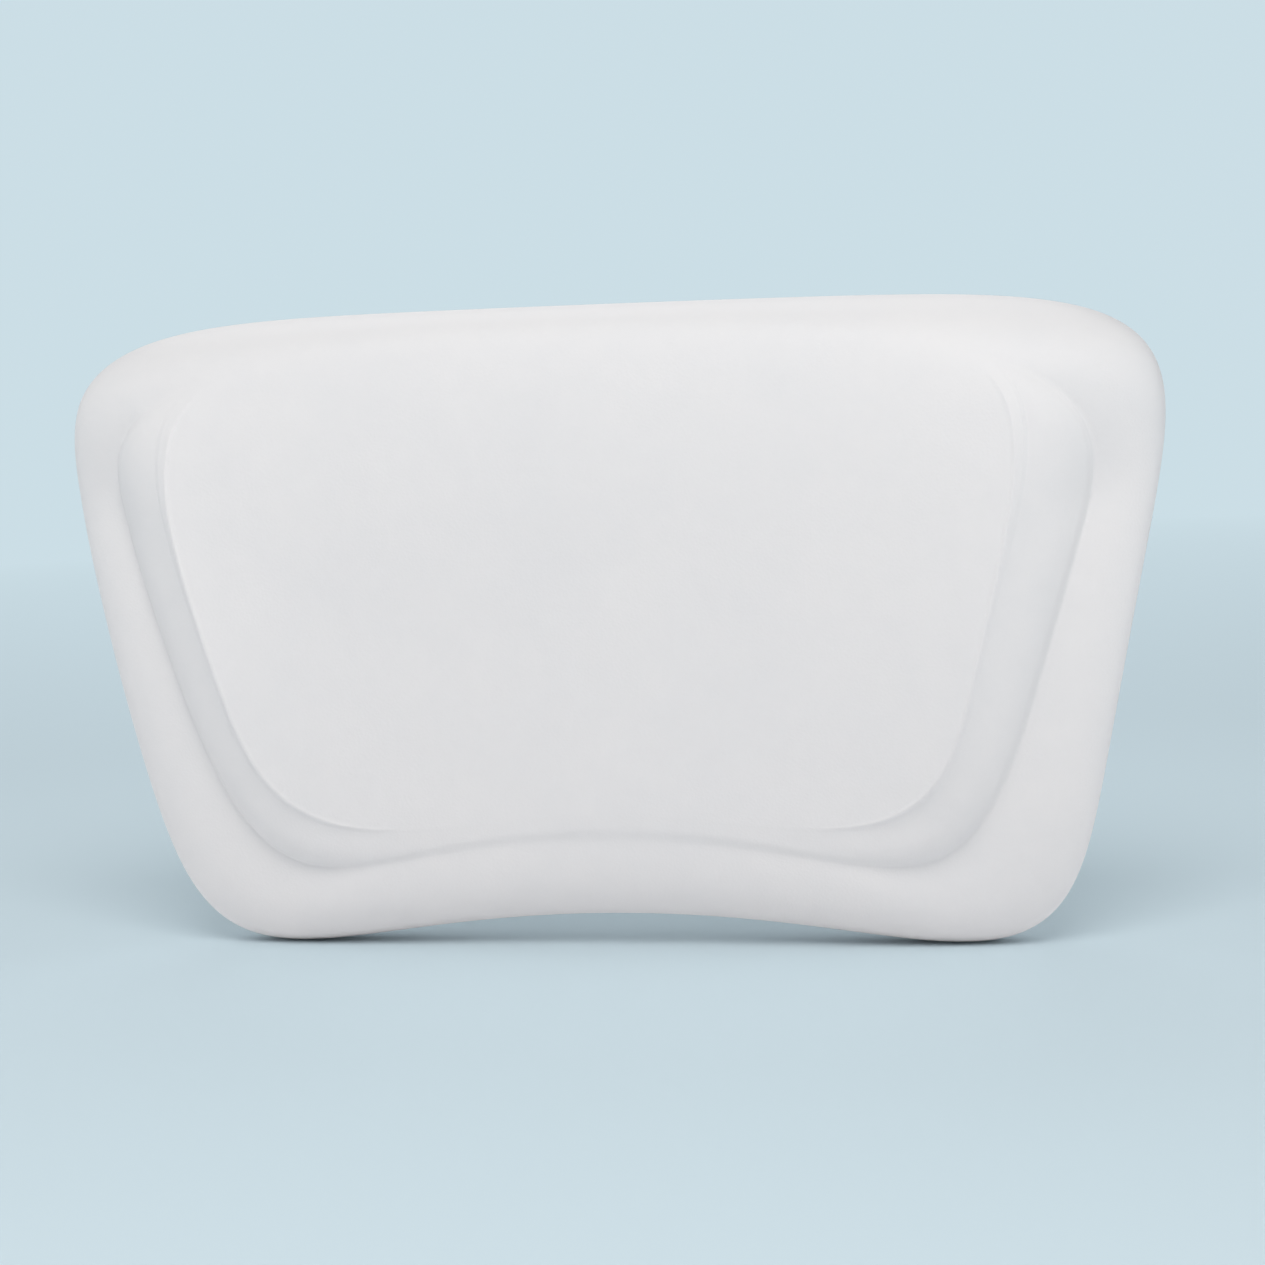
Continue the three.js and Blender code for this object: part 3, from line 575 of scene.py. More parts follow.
def gaussian_rows(values, sigma, step):
    """Rounds every row off with a bell curve of the given width. The rows come with room at both ends."""
    reach = int(math.ceil(3 * sigma / step))
    taps = np.exp(-0.5 * (np.arange(-reach, reach + 1) * step / sigma) ** 2)
    taps /= taps.sum()
    inner = values.shape[1] - 2 * reach
    total = np.zeros((values.shape[0], inner))
    for index, weight in enumerate(taps):
        total += weight * values[:, index:index + inner]
    return np.pad(total, ((0, 0), (reach, reach)), mode="edge")


def rounded_profile(body, relief, fineness, directions):
    """The profile of profile_knots with its steps rounded, as distance and height at chosen stations.
    It is sampled evenly along its length, carried on past the parting line as its own reflection, and
    rounded twice, crisply and softly. The softness of the knots says how much of each is used. The bead
    along the panel's edge is added as a bell curve with a flat top."""
    distance, height, softness = profile_knots(body, relief, directions)
    along = np.hypot(np.diff(distance, axis=1), np.diff(height, axis=1))
    along = np.concatenate([np.zeros((len(along), 1)), np.cumsum(along, 1)], 1)
    step = fineness.sample
    room = 4 * relief.soft
    places = np.arange(-room, along[:, -1].max(), step)[None] + np.zeros((len(along), 1))
    samples = []
    for values in (distance, height):
        got = row_interp(np.abs(places), along, values)
        samples.append(np.where(places < 0, 2 * values[:, :1] - got, got))
    soft = gaussian_rows(row_interp(np.abs(places), along, softness), relief.crisp * 4, step)

    middle = row_interp(np.zeros((len(along), 1)), -distance, along)
    foot, foot_top, edge_foot, edge = (along[:, mark:mark + 1] for mark in (
        RIM_KNOTS - 1, RIM_KNOTS, RIM_KNOTS + BAND_KNOTS - 1, RIM_KNOTS + BAND_KNOTS))
    gap = (edge_foot - foot_top) / 3
    foot_room = np.minimum(3 * relief.crisp, gap)
    edge_room = np.minimum(relief.bead_width + relief.bead_spread, gap)
    stops = [0 * middle, foot - foot_room, foot_top + foot_room, edge_foot - edge_room,
             edge + 2 * relief.bead_width, edge + 2 * relief.bead_width + 4 * edge_room, middle]
    parts = [blend(a, b, np.arange(n)[None] / n) for a, b, n in zip(stops, stops[1:], STATION_COUNTS)]
    stations = np.concatenate(parts, 1)
    index = (stations + room) / step
    low = np.floor(index).astype(int)
    part = index - low
    foot_point = outline_toward(foot_line(body, relief), directions)
    aside = (aside_share(relief, foot_point)[:, None] - relief.middle_share) / (1 - relief.middle_share)
    result = []
    for values in samples:
        mild = gaussian_rows(values, relief.mild, step)
        crisp = blend(mild, gaussian_rows(values, relief.crisp, step), aside)
        rolled = gaussian_rows(values, relief.soft, step)
        mixed = blend(crisp, rolled, np.clip(soft, 0, 1))
        a = np.take_along_axis(mixed, low, 1)
        b = np.take_along_axis(mixed, low + 1, 1)
        result.append(blend(a, b, part))

    line = outline_toward(panel_line(body, relief), directions)
    fade = panel_fade(relief, line[:, 0], line[:, 1])[:, None]
    corner = smooth(line[:, 1], 0.0, relief.fade_start)[:, None]
    before = relief.bead_width / 2 + relief.bead_spread * corner
    apart = np.where(stations < edge - before, edge - before - stations, np.maximum(0, stations - edge))
    bead = relief.bead * blend(relief.bead_low, 1.0, corner) * fade ** 2
    result[1] = result[1] + bead * np.exp(-(apart / (relief.bead_width / 2)) ** 2)
    return result


def placed(body, x, z, height):
    """A point of the outline's plane at a height, in the frame of the part."""
    plane = -(body.back_gap + body.back_depth)
    return np.stack([x, plane - height, z - body.outline_drop], -1)


def front_shape(body, relief, fineness):
    """Front half of the skin: the rounded profile carried round the outline, its underside one skin
    further in, and the seam between them at the parting line."""
    directions = half_turn_directions(body_line(body), fineness.half_turn)
    distance, height = rounded_profile(body, relief, fineness, directions)
    x = distance * np.cos(directions)[:, None]
    z = distance * np.sin(directions)[:, None]
    outer = mirrored(placed(body, x, z, height).transpose(1, 0, 2))
    top = placed(body, *np.zeros((2, 1)), panel_height(body, relief, np.zeros(1), np.zeros(1)))

    knots = profile_knots(body, relief, directions)
    under_r = np.maximum(0, knots[0][:, UNDER_KNOTS] - body.skin)
    under_h = knots[1][:, UNDER_KNOTS] - body.skin * np.array(UNDER_SHARES)
    under_x = under_r * np.cos(directions)[:, None]
    under_z = under_r * np.sin(directions)[:, None]
    inner = mirrored(placed(body, under_x, under_z, under_h).transpose(1, 0, 2))
    rings = [top, *outer[::-1], *inner, top + np.array([0, body.skin, 0])]
    return loft(rings)


# Back of the body


def back_ring(body, line, directions, wall_share, turn, cover, gap):
    """A ring of the wall, which runs from the parting line to the start of the rounding, or of the
    rounding itself, which turns about a circle."""
    start_point = outline_toward(line, directions)
    start = parting_height(body, start_point[:, 1]) - gap
    round_radius = body.back_round - cover
    height = blend(start, body.back_round - body.back_depth, wall_share) - round_radius * math.sin(turn)
    inset = body.wall_draft * wall_share + round_radius * (1 - math.cos(turn))
    moved = outline_toward(drawn_in(line, inset), directions)
    z = moved[:, 1] + body.back_lean * (start - height)
    return placed(body, moved[:, 0], z, height)


def back_rings(body, directions, cover, walls, turns):
    """Rings of the back from the parting line to the flat."""
    line = drawn_in(body_line(body), cover)
    rings = [back_ring(body, line, directions, share, 0.0, cover, body.parting_gap)
             for share in np.linspace(0, 1, walls)]
    rings += [back_ring(body, line, directions, 1.0, turn, cover, body.parting_gap)
              for turn in np.linspace(0, np.pi / 2, turns)[1:]]
    return mirrored(np.array(rings))


def stadium_reach(radius, travel, turn):
    """How far a ray runs inside a circle that is swept straight up by the travel, seen from the middle
    of the lower end."""
    across, up = np.abs(np.cos(turn)), np.sin(turn)
    side = radius / np.maximum(across, 1e-9)
    end = travel * up + np.sqrt(np.maximum(0, radius ** 2 - (travel * across) ** 2))
    return np.where(up <= 0, radius, np.where(side * up <= travel, side, end))


def cup_places(holders):
    """Name and place of each suction cup."""
    return dict(zip(CORNERS, (
        (-holders.upper_x, holders.upper_z), (holders.upper_x, holders.upper_z),
        (-holders.lower_x, -holders.lower_z), (holders.lower_x, -holders.lower_z))))


def stadium_ring(holders, place, radius, depth, turn):
    """A stadium ring round a cup's keyhole at a depth in front of the tub wall."""
    reach = stadium_reach(radius, holders.travel, turn)
    return np.stack([place[0] + reach * np.cos(turn), -depth + 0 * turn,
                     place[1] - holders.travel + reach * np.sin(turn)], -1)


def flat_with_holes(outline, holes):
    """Fills the plane between an outline and the holes in it with triangles."""
    loops = [outline, *holes]
    points = np.concatenate(loops)
    edges, start = [], 0
    for loop in loops:
        numbers = np.arange(start, start + len(loop))
        edges.append(np.stack([numbers, np.roll(numbers, -1)], -1))
        start += len(loop)
    flat = [Vector((float(x), float(z))) for x, z in points[:, [0, 2]]]
    found = delaunay_2d_cdt(flat, np.concatenate(edges).tolist(), [], 1, 1e-9)
    triangles = np.array(found[2])
    if len(found[0]) != len(points):
        raise RuntimeError("the flat of the back has crossing edges")
    order = np.array([source[0] for source in found[3]])
    triangles = order[triangles]
    middles = points[triangles].mean(1)
    kept = np.ones(len(triangles), bool)
    for hole in holes:
        centre = hole.mean(0)
        turn = np.arctan2(middles[:, 2] - centre[2], middles[:, 0] - centre[0])
        known = np.arctan2(hole[:, 2] - centre[2], hole[:, 0] - centre[0])
        reach = np.hypot(hole[:, 0] - centre[0], hole[:, 2] - centre[2])
        ordered = np.argsort(known)
        limit = np.interp(turn, known[ordered], reach[ordered], period=2 * np.pi)
        kept &= np.hypot(middles[:, 0] - centre[0], middles[:, 2] - centre[2]) > limit
    return points, np.zeros((0, 4), int), triangles[kept]


def back_shape(body, holders, fineness):
    """Back half of the skin: wall and rounding outside and inside, two flats with an opening for each
    socket, the walls of those openings, and the seam at the parting line."""
    directions = half_turn_directions(body_line(body), fineness.half_turn)
    outer = back_rings(body, directions, 0.0, 9, 13)
    inner = back_rings(body, directions, body.skin, 3, 5)
    turn = np.linspace(0, 2 * np.pi, fineness.ring_points, endpoint=False)
    radius = holders.well_radius + holders.well_wall + holders.play
    parts = [loft([*outer[::-1], *inner])]
    flats = []
    for ring, depth in ((outer[-1], body.back_gap), (inner[-1], body.back_gap + body.skin)):
        holes = [stadium_ring(holders, place, radius, depth, turn) for place in cup_places(holders).values()]
        ring = ring.copy()
        ring[:, 1] = -depth
        parts.append(flat_with_holes(ring, holes))
        flats.append(holes)
    parts += [loft([a, b]) for a, b in zip(*flats)]
    return consistent(joined(parts))


def consistent(shape):
    """Turns neighbouring faces the same way round, and the whole outwards."""
    points, quads, triangles = shape
    mesh = bmesh.new()
    scratch = bpy.data.meshes.new("scratch")
    scratch.from_pydata(points.tolist(), [], quads.tolist() + triangles.tolist())
    mesh.from_mesh(scratch)
    bmesh.ops.recalc_face_normals(mesh, faces=mesh.faces)
    mesh.to_mesh(scratch)
    mesh.free()
    totals = np.zeros(len(scratch.polygons), np.int32)
    scratch.polygons.foreach_get("loop_total", totals)
    corners = np.zeros(len(scratch.loops), np.int32)
    scratch.loops.foreach_get("vertex_index", corners)
    starts = np.cumsum(totals) - totals
    four = corners[starts[totals == 4][:, None] + np.arange(4)]
    three = corners[starts[totals == 3][:, None] + np.arange(3)]
    bpy.data.meshes.remove(scratch)
    return points, four, three


# Sockets, stems and cups


def rounded_corners(profile, radius, steps=5, closed=False):
    """Replaces each corner of a profile by an arc that is tangent to both sides, or by a smaller one
    where a side is short. A corner's own radius may be given as a third value."""
    profile = [tuple(p) for p in profile]
    points = []
    last = len(profile) - 1
    for index, corner in enumerate(profile):
        here = np.array(corner[:2])
        if not closed and index in (0, last):
            points.append(here)
            continue
        before = np.array(profile[index - 1][:2]) - here
        after = np.array(profile[(index + 1) % len(profile)][:2]) - here
        lengths = np.linalg.norm(before), np.linalg.norm(after)
        before, after = before / lengths[0], after / lengths[1]
        half = math.acos(float(np.clip(before @ after, -1, 1))) / 2
        wanted = corner[2] if len(corner) > 2 else radius
        reach = min(wanted / math.tan(half), 0.45 * min(lengths)) if half < 1.56 else 0.0
        if reach <= 0:
            points.append(here)
            continue
        size = reach * math.tan(half)
        centre = here + (before + after) / np.linalg.norm(before + after) * (size / math.sin(half))
        first = here + before * reach - centre
        last_one = here + after * reach - centre
        sweep = math.pi - 2 * half
        turn = np.linspace(0, 1, steps)[:, None] * sweep
        points.extend(centre + (np.sin(sweep - turn) * first + np.sin(turn) * last_one) / math.sin(sweep))
    return np.array(points)


def depths(holders):
    """Depths in front of the tub wall at which the parts of a cup, stem and socket begin."""
    d = {"cavity_floor": holders.bell_depth + holders.cup_floor}
    d["cavity_top"] = d["cavity_floor"] + holders.bulb_height + 2 * holders.play
    d["boss_top"] = d["cavity_top"] + holders.neck_lip
    d["collar"] = d["boss_top"] + holders.play
    d["floor_start"] = d["collar"] + holders.collar_thickness + holders.play
    d["floor_end"] = d["floor_start"] + holders.floor_thickness
    d["head"] = d["floor_end"] + holders.play
    d["chamber_end"] = d["floor_end"] + holders.chamber_depth
    return d


def socket_shape(body, holders, fineness, place):
    """A socket: rings round the keyhole's entry. Lip, well and chamber are stadiums, and the keyhole is
    the larger of its entry circle and its slot in each direction."""
    turn = np.linspace(0, 2 * np.pi, fineness.ring_points, endpoint=False)
    d = depths(holders)
    entry = holders.head_radius + holders.entry_play
    slot = holders.shank_radius + holders.play
    keyhole = np.maximum(entry, stadium_reach(slot, holders.travel, turn))
    well_outer = holders.well_radius + holders.well_wall
    lip_outer = well_outer + holders.lip_width
    lip_start = body.back_gap - holders.lip_thickness
    chamber = holders.head_radius + holders.chamber_play
    chamber_outer = chamber + holders.chamber_wall
    edge = holders.edge

    def rings(points):
        return [stadium_ring(holders, place, r, depth, turn) for r, depth in points]

    def keyhole_ring(grow, depth):
        reach = keyhole + grow
        return np.stack([place[0] + reach * np.cos(turn), -depth + 0 * turn,
                         place[1] - holders.travel + reach * np.sin(turn)], -1)

    outside = rounded_corners([
        (well_outer, d["floor_end"]), (well_outer, body.back_gap), (lip_outer, body.back_gap),
        (lip_outer, lip_start), (holders.well_radius, lip_start, holders.well_chamfer),
        (holders.well_radius, d["floor_start"], 3 * edge), (chamber_outer, d["floor_start"])], edge)
    floor = rings(outside)
    mouth = [keyhole_ring(edge, d["floor_start"]), keyhole_ring(edge * 0.3, d["floor_start"] + edge * 0.3),
             keyhole_ring(0, d["floor_start"] + edge), keyhole_ring(0, d["floor_end"])]
    inside = rings([(chamber, d["floor_end"]), (chamber, d["chamber_end"]),
                    (chamber_outer, d["chamber_end"]), (chamber_outer, d["floor_end"])])
    middle = [blend(floor[-1], mouth[0], share) for share in (1 / 3, 2 / 3)]
    return loft([*floor, *middle, *mouth, *inside], loop=True)


def revolved(profile, place, steps):
    """Turns a profile of radius and depth about a cup's axis. Radius 0 gives a pole."""
    turn = np.linspace(0, 2 * np.pi, steps, endpoint=False)
    rings = []
    for radius, depth in profile:
        at = turn if radius > 1e-9 else turn[:1]
        rings.append(np.stack([place[0] + radius * np.cos(at), -depth + 0 * at,
                               place[1] + radius * np.sin(at)], -1))
    return loft(rings)


def stem_shape(holders, fineness, place):
    """A stem: bulb, neck, collar, shank and head, turned about the cup's axis."""
    d = depths(holders)
    bulb_start = d["cavity_floor"] + holders.play
    bulb_end = bulb_start + holders.bulb_height
    collar_end = d["collar"] + holders.collar_thickness
    head_end = d["head"] + holders.head_thickness
    profile = [
        (0, bulb_start), (holders.bulb_radius, bulb_start, 2 * holders.edge), (holders.bulb_radius, bulb_end),
        (holders.shank_radius, bulb_end), (holders.shank_radius, d["collar"]),
        (holders.collar_radius, d["collar"]), (holders.collar_radius, collar_end),
        (holders.shank_radius, collar_end), (holders.shank_radius, d["head"]),
        (holders.head_radius, d["head"]), (holders.head_radius, head_end, 2 * holders.edge), (0, head_end)]
    return revolved(rounded_corners(profile, holders.edge / 2), place, fineness.stem_steps)


def cup_shape(holders, fineness, place):
    """A suction cup, turned about its axis: the bell falls off with a power of the share of its radius,
    the back with another power, and the boss holds the bulb."""
    d = depths(holders)
    bell_radius = holders.cup_radius - holders.seal_width
    share = np.linspace(0, 1, 28)
    bell = np.stack([bell_radius * share, holders.bell_depth * (1 - share ** holders.bell_power)], -1)
    dome_rise = holders.bell_depth + holders.dome_wall - holders.rim_thickness
    back = share[::-1]
    dome = np.stack([blend(holders.boss_radius, holders.cup_radius, back),
                     holders.rim_thickness + dome_rise * (1 - back ** holders.dome_power)], -1)
    rim = rounded_corners([tuple(bell[-1]), (holders.cup_radius, 0), tuple(dome[0]), tuple(dome[1])],
                          holders.edge)
    neck = holders.shank_radius + holders.play
    hollow = holders.bulb_radius + holders.play
    boss = rounded_corners([
        tuple(dome[-2]), (*dome[-1], 3 * holders.edge), (holders.boss_radius, d["boss_top"]),
        (neck, d["boss_top"]), (neck, d["cavity_top"]), (hollow, d["cavity_top"]),
        (hollow, d["cavity_floor"]), (0, d["cavity_floor"])], holders.edge)
    profile = np.concatenate([bell[:-1], rim[:-1], dome[2:-2], boss])
    return revolved(profile, place, fineness.lathe_steps)


def tab_shape(holders, place):
    """A pull tab: a block rounded by high powers, with ribs on the side away from the tub wall."""
    around = np.linspace(0, 2 * np.pi, 64, endpoint=False)
    along = np.linspace(-1, 1, 61)[1:-1]
    length_all = holders.tab_length + holders.seal_width * 1.4
    bottom = -(holders.cup_radius + holders.tab_length)
    z = bottom + length_all * (along + 1) / 2
    narrow = (1 - np.abs(along) ** 7) ** (1 / 7)
    thin = (1 - np.abs(along) ** 16) ** (1 / 3)
    across = signed_power(np.cos(around), 2 / 9)
    out = signed_power(np.sin(around), 2 / 3)
    x = holders.tab_width / 2 * narrow[:, None] * across[None]
    y = holders.tab_thickness / 2 * thin[:, None] * out[None]
    pitch = holders.tab_width / 5
    phase = (z - bottom - holders.tab_rib * 2) / pitch
    ribbed = (phase > 0) & (phase < holders.tab_ribs)
    rib = np.where(ribbed, np.sin(np.pi * np.clip(phase, 0, holders.tab_ribs)) ** 2, 0) * holders.tab_rib
    side = smooth(-out, 0.3, 0.9)[None] * smooth(1 - np.abs(across), 0.04, 0.2)[None]
    y = y - rib[:, None] * side
    middle = -(holders.tab_offset + holders.tab_thickness / 2)
    rings = np.stack([place[0] + x, middle + y, place[1] + z[:, None] + 0 * x], -1)
    poles = [np.array([[place[0], middle, place[1] + end]]) for end in (bottom, bottom + length_all)]
    return loft([poles[0], *rings, poles[1]])


# Materials


def group_input(group, name, kind, value):
    """Adds a named input to a node group."""
    socket = group.interface.new_socket(name=name, in_out="INPUT", socket_type=kind)
    socket.default_value = value
    return socket


def new_group(name, inputs, outputs):
    """Starts a node group with named inputs and outputs."""
    group = bpy.data.node_groups.new(name, "ShaderNodeTree")
    for label, kind, value in inputs:
        group_input(group, label, kind, value)
    for label, kind in outputs:
        group.interface.new_socket(name=label, in_out="OUTPUT", socket_type=kind)
    return group, group.nodes.new("NodeGroupInput"), group.nodes.new("NodeGroupOutput")


def node(tree, kind, values=None, **settings):
    """Adds a node, sets its settings, and gives values to its inputs by name or number."""
    made = tree.nodes.new(kind)
    for key, value in settings.items():
        setattr(made, key, value)
    for key, value in (values or {}).items():
        made.inputs[key].default_value = value
    return made


def link(tree, source, target):
    """Joins an output to an input."""
    tree.links.new(source, target)


def grain_group():
    """Moulded grain: rounded pebbles from a cell pattern, with a finer noise between them. It puts out a
    height from 0 to 1 and a mask of the pebbles' tops."""
    group, given, out = new_group(
        "Moulded grain",
        [("Vector", "NodeSocketVector", (0, 0, 0)), ("Pebbles per metre", "NodeSocketFloat", 1200.0),
         ("Fine share", "NodeSocketFloat", 0.3)],
        [("Height", "NodeSocketFloat"), ("Tops", "NodeSocketFloat")])
    warp = node(group, "ShaderNodeTexNoise", {"Scale": 400.0, "Detail": 2.0})
    shake = node(group, "ShaderNodeVectorMath", {1: (0.0004, 0.0004, 0.0004)}, operation="MULTIPLY_ADD")
    cells = node(group, "ShaderNodeTexVoronoi", feature="SMOOTH_F1")
    cells.inputs["Smoothness"].default_value = 0.6
    fine = node(group, "ShaderNodeTexNoise", {"Detail": 3.0, "Roughness": 0.6})
    double = node(group, "ShaderNodeMath", {1: 2.7}, operation="MULTIPLY")
    dome = node(group, "ShaderNodeMapRange",
                {"From Min": 0.0, "From Max": 0.75, "To Min": 1.0, "To Max": 0.0},
                interpolation_type="SMOOTHSTEP")
    mix = node(group, "ShaderNodeMix", data_type="FLOAT")
    link(group, given.outputs["Vector"], warp.inputs["Vector"])
    link(group, warp.outputs["Color"], shake.inputs[0])
    link(group, given.outputs["Vector"], shake.inputs[2])
    link(group, shake.outputs[0], cells.inputs["Vector"])
    link(group, given.outputs["Pebbles per metre"], cells.inputs["Scale"])
    link(group, given.outputs["Pebbles per metre"], double.inputs[0])
    link(group, double.outputs[0], fine.inputs["Scale"])
    link(group, given.outputs["Vector"], fine.inputs["Vector"])
    link(group, cells.outputs["Distance"], dome.inputs["Value"])
    link(group, given.outputs["Fine share"], mix.inputs[0])
    link(group, dome.outputs["Result"], mix.inputs[2])
    link(group, fine.outputs["Fac"], mix.inputs[3])
    link(group, mix.outputs[0], out.inputs["Height"])
    link(group, dome.outputs["Result"], out.inputs["Tops"])
    return group


def clouds_group():
    """Faint clouds: two noises of different size, blended and spread to the range 0 to 1."""
    group, given, out = new_group(
        "Faint clouds",
        [("Vector", "NodeSocketVector", (0, 0, 0)), ("Clouds per metre", "NodeSocketFloat", 20.0)],
        [("Mask", "NodeSocketFloat")])
    large = node(group, "ShaderNodeTexNoise", {"Detail": 4.0, "Roughness": 0.5})
    small = node(group, "ShaderNodeTexNoise", {"Detail": 3.0, "Roughness": 0.55})
    times = node(group, "ShaderNodeMath", {1: 6.0}, operation="MULTIPLY")
    mix = node(group, "ShaderNodeMix", {0: 0.35}, data_type="FLOAT")
    spread = node(group, "ShaderNodeMapRange", {"From Min": 0.35, "From Max": 0.65})
    link(group, given.outputs["Vector"], large.inputs["Vector"])
    link(group, given.outputs["Vector"], small.inputs["Vector"])
    link(group, given.outputs["Clouds per metre"], large.inputs["Scale"])
    link(group, given.outputs["Clouds per metre"], times.inputs[0])
    link(group, times.outputs[0], small.inputs["Scale"])
    link(group, large.outputs["Fac"], mix.inputs[2])
    link(group, small.outputs["Fac"], mix.inputs[3])
    link(group, mix.outputs[0], spread.inputs["Value"])
    link(group, spread.outputs["Result"], out.inputs["Mask"])
    return group


def shared(name, build):
    """The shared node group of that name, built the first time."""
    return bpy.data.node_groups.get(name) or build()


def moulded_material(name, main, low, roughness, grain, grain_height, clouds, constants):
    """A moulded surface: clouds blend two colours and two roughnesses, and the grain gives the height of
    a bump. Constants go straight onto the shader's sockets."""
    material = bpy.data.materials.new(name)
    material.use_nodes = True
    tree = material.node_tree
    shader = tree.nodes["Principled BSDF"]
    place = node(tree, "ShaderNodeTexCoord")
    cloud = node(tree, "ShaderNodeGroup", node_tree=shared("Faint clouds", clouds_group))
    cloud.inputs["Clouds per metre"].default_value = clouds
    pebbles = node(tree, "ShaderNodeGroup", node_tree=shared("Moulded grain", grain_group))
    pebbles.inputs["Pebbles per metre"].default_value = 1.0 / grain
    tint = node(tree, "ShaderNodeMix", data_type="RGBA")
    tint.inputs[6].default_value = (*low, 1.0)
    tint.inputs[7].default_value = (*main, 1.0)
    gloss = node(tree, "ShaderNodeMapRange",
                 {"From Min": 0.0, "From Max": 1.0, "To Min": roughness * 0.92, "To Max": roughness * 1.08})
    bump = node(tree, "ShaderNodeBump", {"Strength": 1.0, "Distance": grain_height})
    for group in (cloud, pebbles):
        link(tree, place.outputs["Object"], group.inputs["Vector"])
    link(tree, cloud.outputs["Mask"], tint.inputs[0])
    link(tree, tint.outputs[2], shader.inputs["Base Color"])
    link(tree, cloud.outputs["Mask"], gloss.inputs["Value"])
    link(tree, gloss.outputs["Result"], shader.inputs["Roughness"])
    link(tree, pebbles.outputs["Height"], bump.inputs["Height"])
    link(tree, bump.outputs["Normal"], shader.inputs["Normal"])
    for socket, value in constants.items():
        shader.inputs[socket].default_value = value
    return material


def skin_material(finish):
    """Self-skinned polyurethane: white, satin, with a fine pebble grain."""
    return moulded_material("pillow_skin", finish.skin, finish.skin_low, finish.skin_roughness, finish.grain,
                            finish.grain_height, 18.0, {"IOR": 1.45, "Specular IOR Level": 0.35})


def plastic_material(finish):
    """Natural polypropylene of the sockets and stems, with faint flow marks."""
    return moulded_material("socket_plastic", finish.plastic, finish.plastic_low, 0.36, 0.35 * MM,
                            0.004 * MM, 60.0, {"IOR": 1.49})


def insert_material(finish):
    """Matt plastic of the plate in the foam."""
    return moulded_material("insert_plastic", finish.insert, finish.plastic_low, 0.55, 0.5 * MM,
                            0.01 * MM, 40.0, {"IOR": 1.49})


def vinyl_material(finish):
    """Soft vinyl of the suction cups: glossy, cloudy and slightly clear."""
    return moulded_material("cup_vinyl", finish.vinyl, finish.vinyl_low, 0.16, 3.0 * MM,
                            0.01 * MM, 90.0, {"IOR": 1.53, "Transmission Weight": 0.55})


def kept(name, build, *values):
    """The material of that name, built the first time."""
    return bpy.data.materials.get(name) or build(*values)


# Operators


class PILLOW_OT_front(bpy.types.Operator):
    """Makes the front half of the skin with its two-step relief"""

    bl_idname = "pillow.front"
    bl_label = "Front of the body"

    def execute(self, context):
        scene = context.scene
        shape = front_shape(scene.pillow_body, scene.pillow_relief, scene.pillow_fineness)
        front = piece("front_cover", shape, "pillow",
                      kept("pillow_skin", skin_material, scene.pillow_finish), 60.0)
        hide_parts("front_skin", "foam_core")
        return {"FINISHED"}


class PILLOW_OT_back(bpy.types.Operator):
    """Makes the back half of the skin with an opening for each socket"""

    bl_idname = "pillow.back"
    bl_label = "Back of the body"

    def execute(self, context):
        scene = context.scene
        shape = back_shape(scene.pillow_body, scene.pillow_holders, scene.pillow_fineness)
        back = piece("back_cover", shape, "pillow",
                     kept("pillow_skin", skin_material, scene.pillow_finish))
        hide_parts("back_skin")
        return {"FINISHED"}


class PILLOW_OT_sockets(bpy.types.Operator):
    """Makes the four sockets and finishes the caps and the plate behind them"""

    bl_idname = "pillow.sockets"
    bl_label = "Sockets"

    def execute(self, context):
        scene = context.scene
        plastic = kept("socket_plastic", plastic_material, scene.pillow_finish)
        for corner, place in cup_places(scene.pillow_holders).items():
            shape = socket_shape(scene.pillow_body, scene.pillow_holders, scene.pillow_fineness, place)
            socket = piece(f"{corner}_keyhole_well", shape, "pillow", plastic)
            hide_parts(f"{corner}_socket")
            finish_node(f"{corner}_socket_cap", plastic)
        finish_node("insert_plate", kept("insert_plastic", insert_material, scene.pillow_finish))
        return {"FINISHED"}


class PILLOW_OT_cups(bpy.types.Operator):
    """Makes the four stems, suction cups and pull tabs"""

    bl_idname = "pillow.cups"
    bl_label = "Suction cups"

    def execute(self, context):
        scene = context.scene
        holders, fineness = scene.pillow_holders, scene.pillow_fineness
        plastic = kept("socket_plastic", plastic_material, scene.pillow_finish)
        vinyl = kept("cup_vinyl", vinyl_material, scene.pillow_finish)
        for corner, place in cup_places(holders).items():
            stem = piece(f"{corner}_turned_stem", stem_shape(holders, fineness, place), f"{corner}_slider",
                         plastic)
            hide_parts(f"{corner}_stem")
            cup = piece(f"{corner}_cup", cup_shape(holders, fineness, place), f"{corner}_cup", vinyl)
            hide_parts(f"{corner}_suction_cup")
            piece(f"{corner}_pull_tab", tab_shape(holders, place), f"{corner}_cup", vinyl)
        return {"FINISHED"}


class PILLOW_OT_stage(bpy.types.Operator):
    """Makes the floor, the backdrop, the lamps and the camera"""

    bl_idname = "pillow.stage"
    bl_label = "Stage"

    def execute(self, context):
        stage = context.scene.pillow_stage
        make_camera(stage)
        make_floor(stage)
        make_world(stage)
        make_lamps(stage)
        return {"FINISHED"}


def finish_node(name, material):
    """Gives a CAD node its material."""
    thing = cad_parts[name]
    if not thing.material_slots:
        thing.data.materials.append(material)
    for place in thing.material_slots:
        place.material = material


# Stage


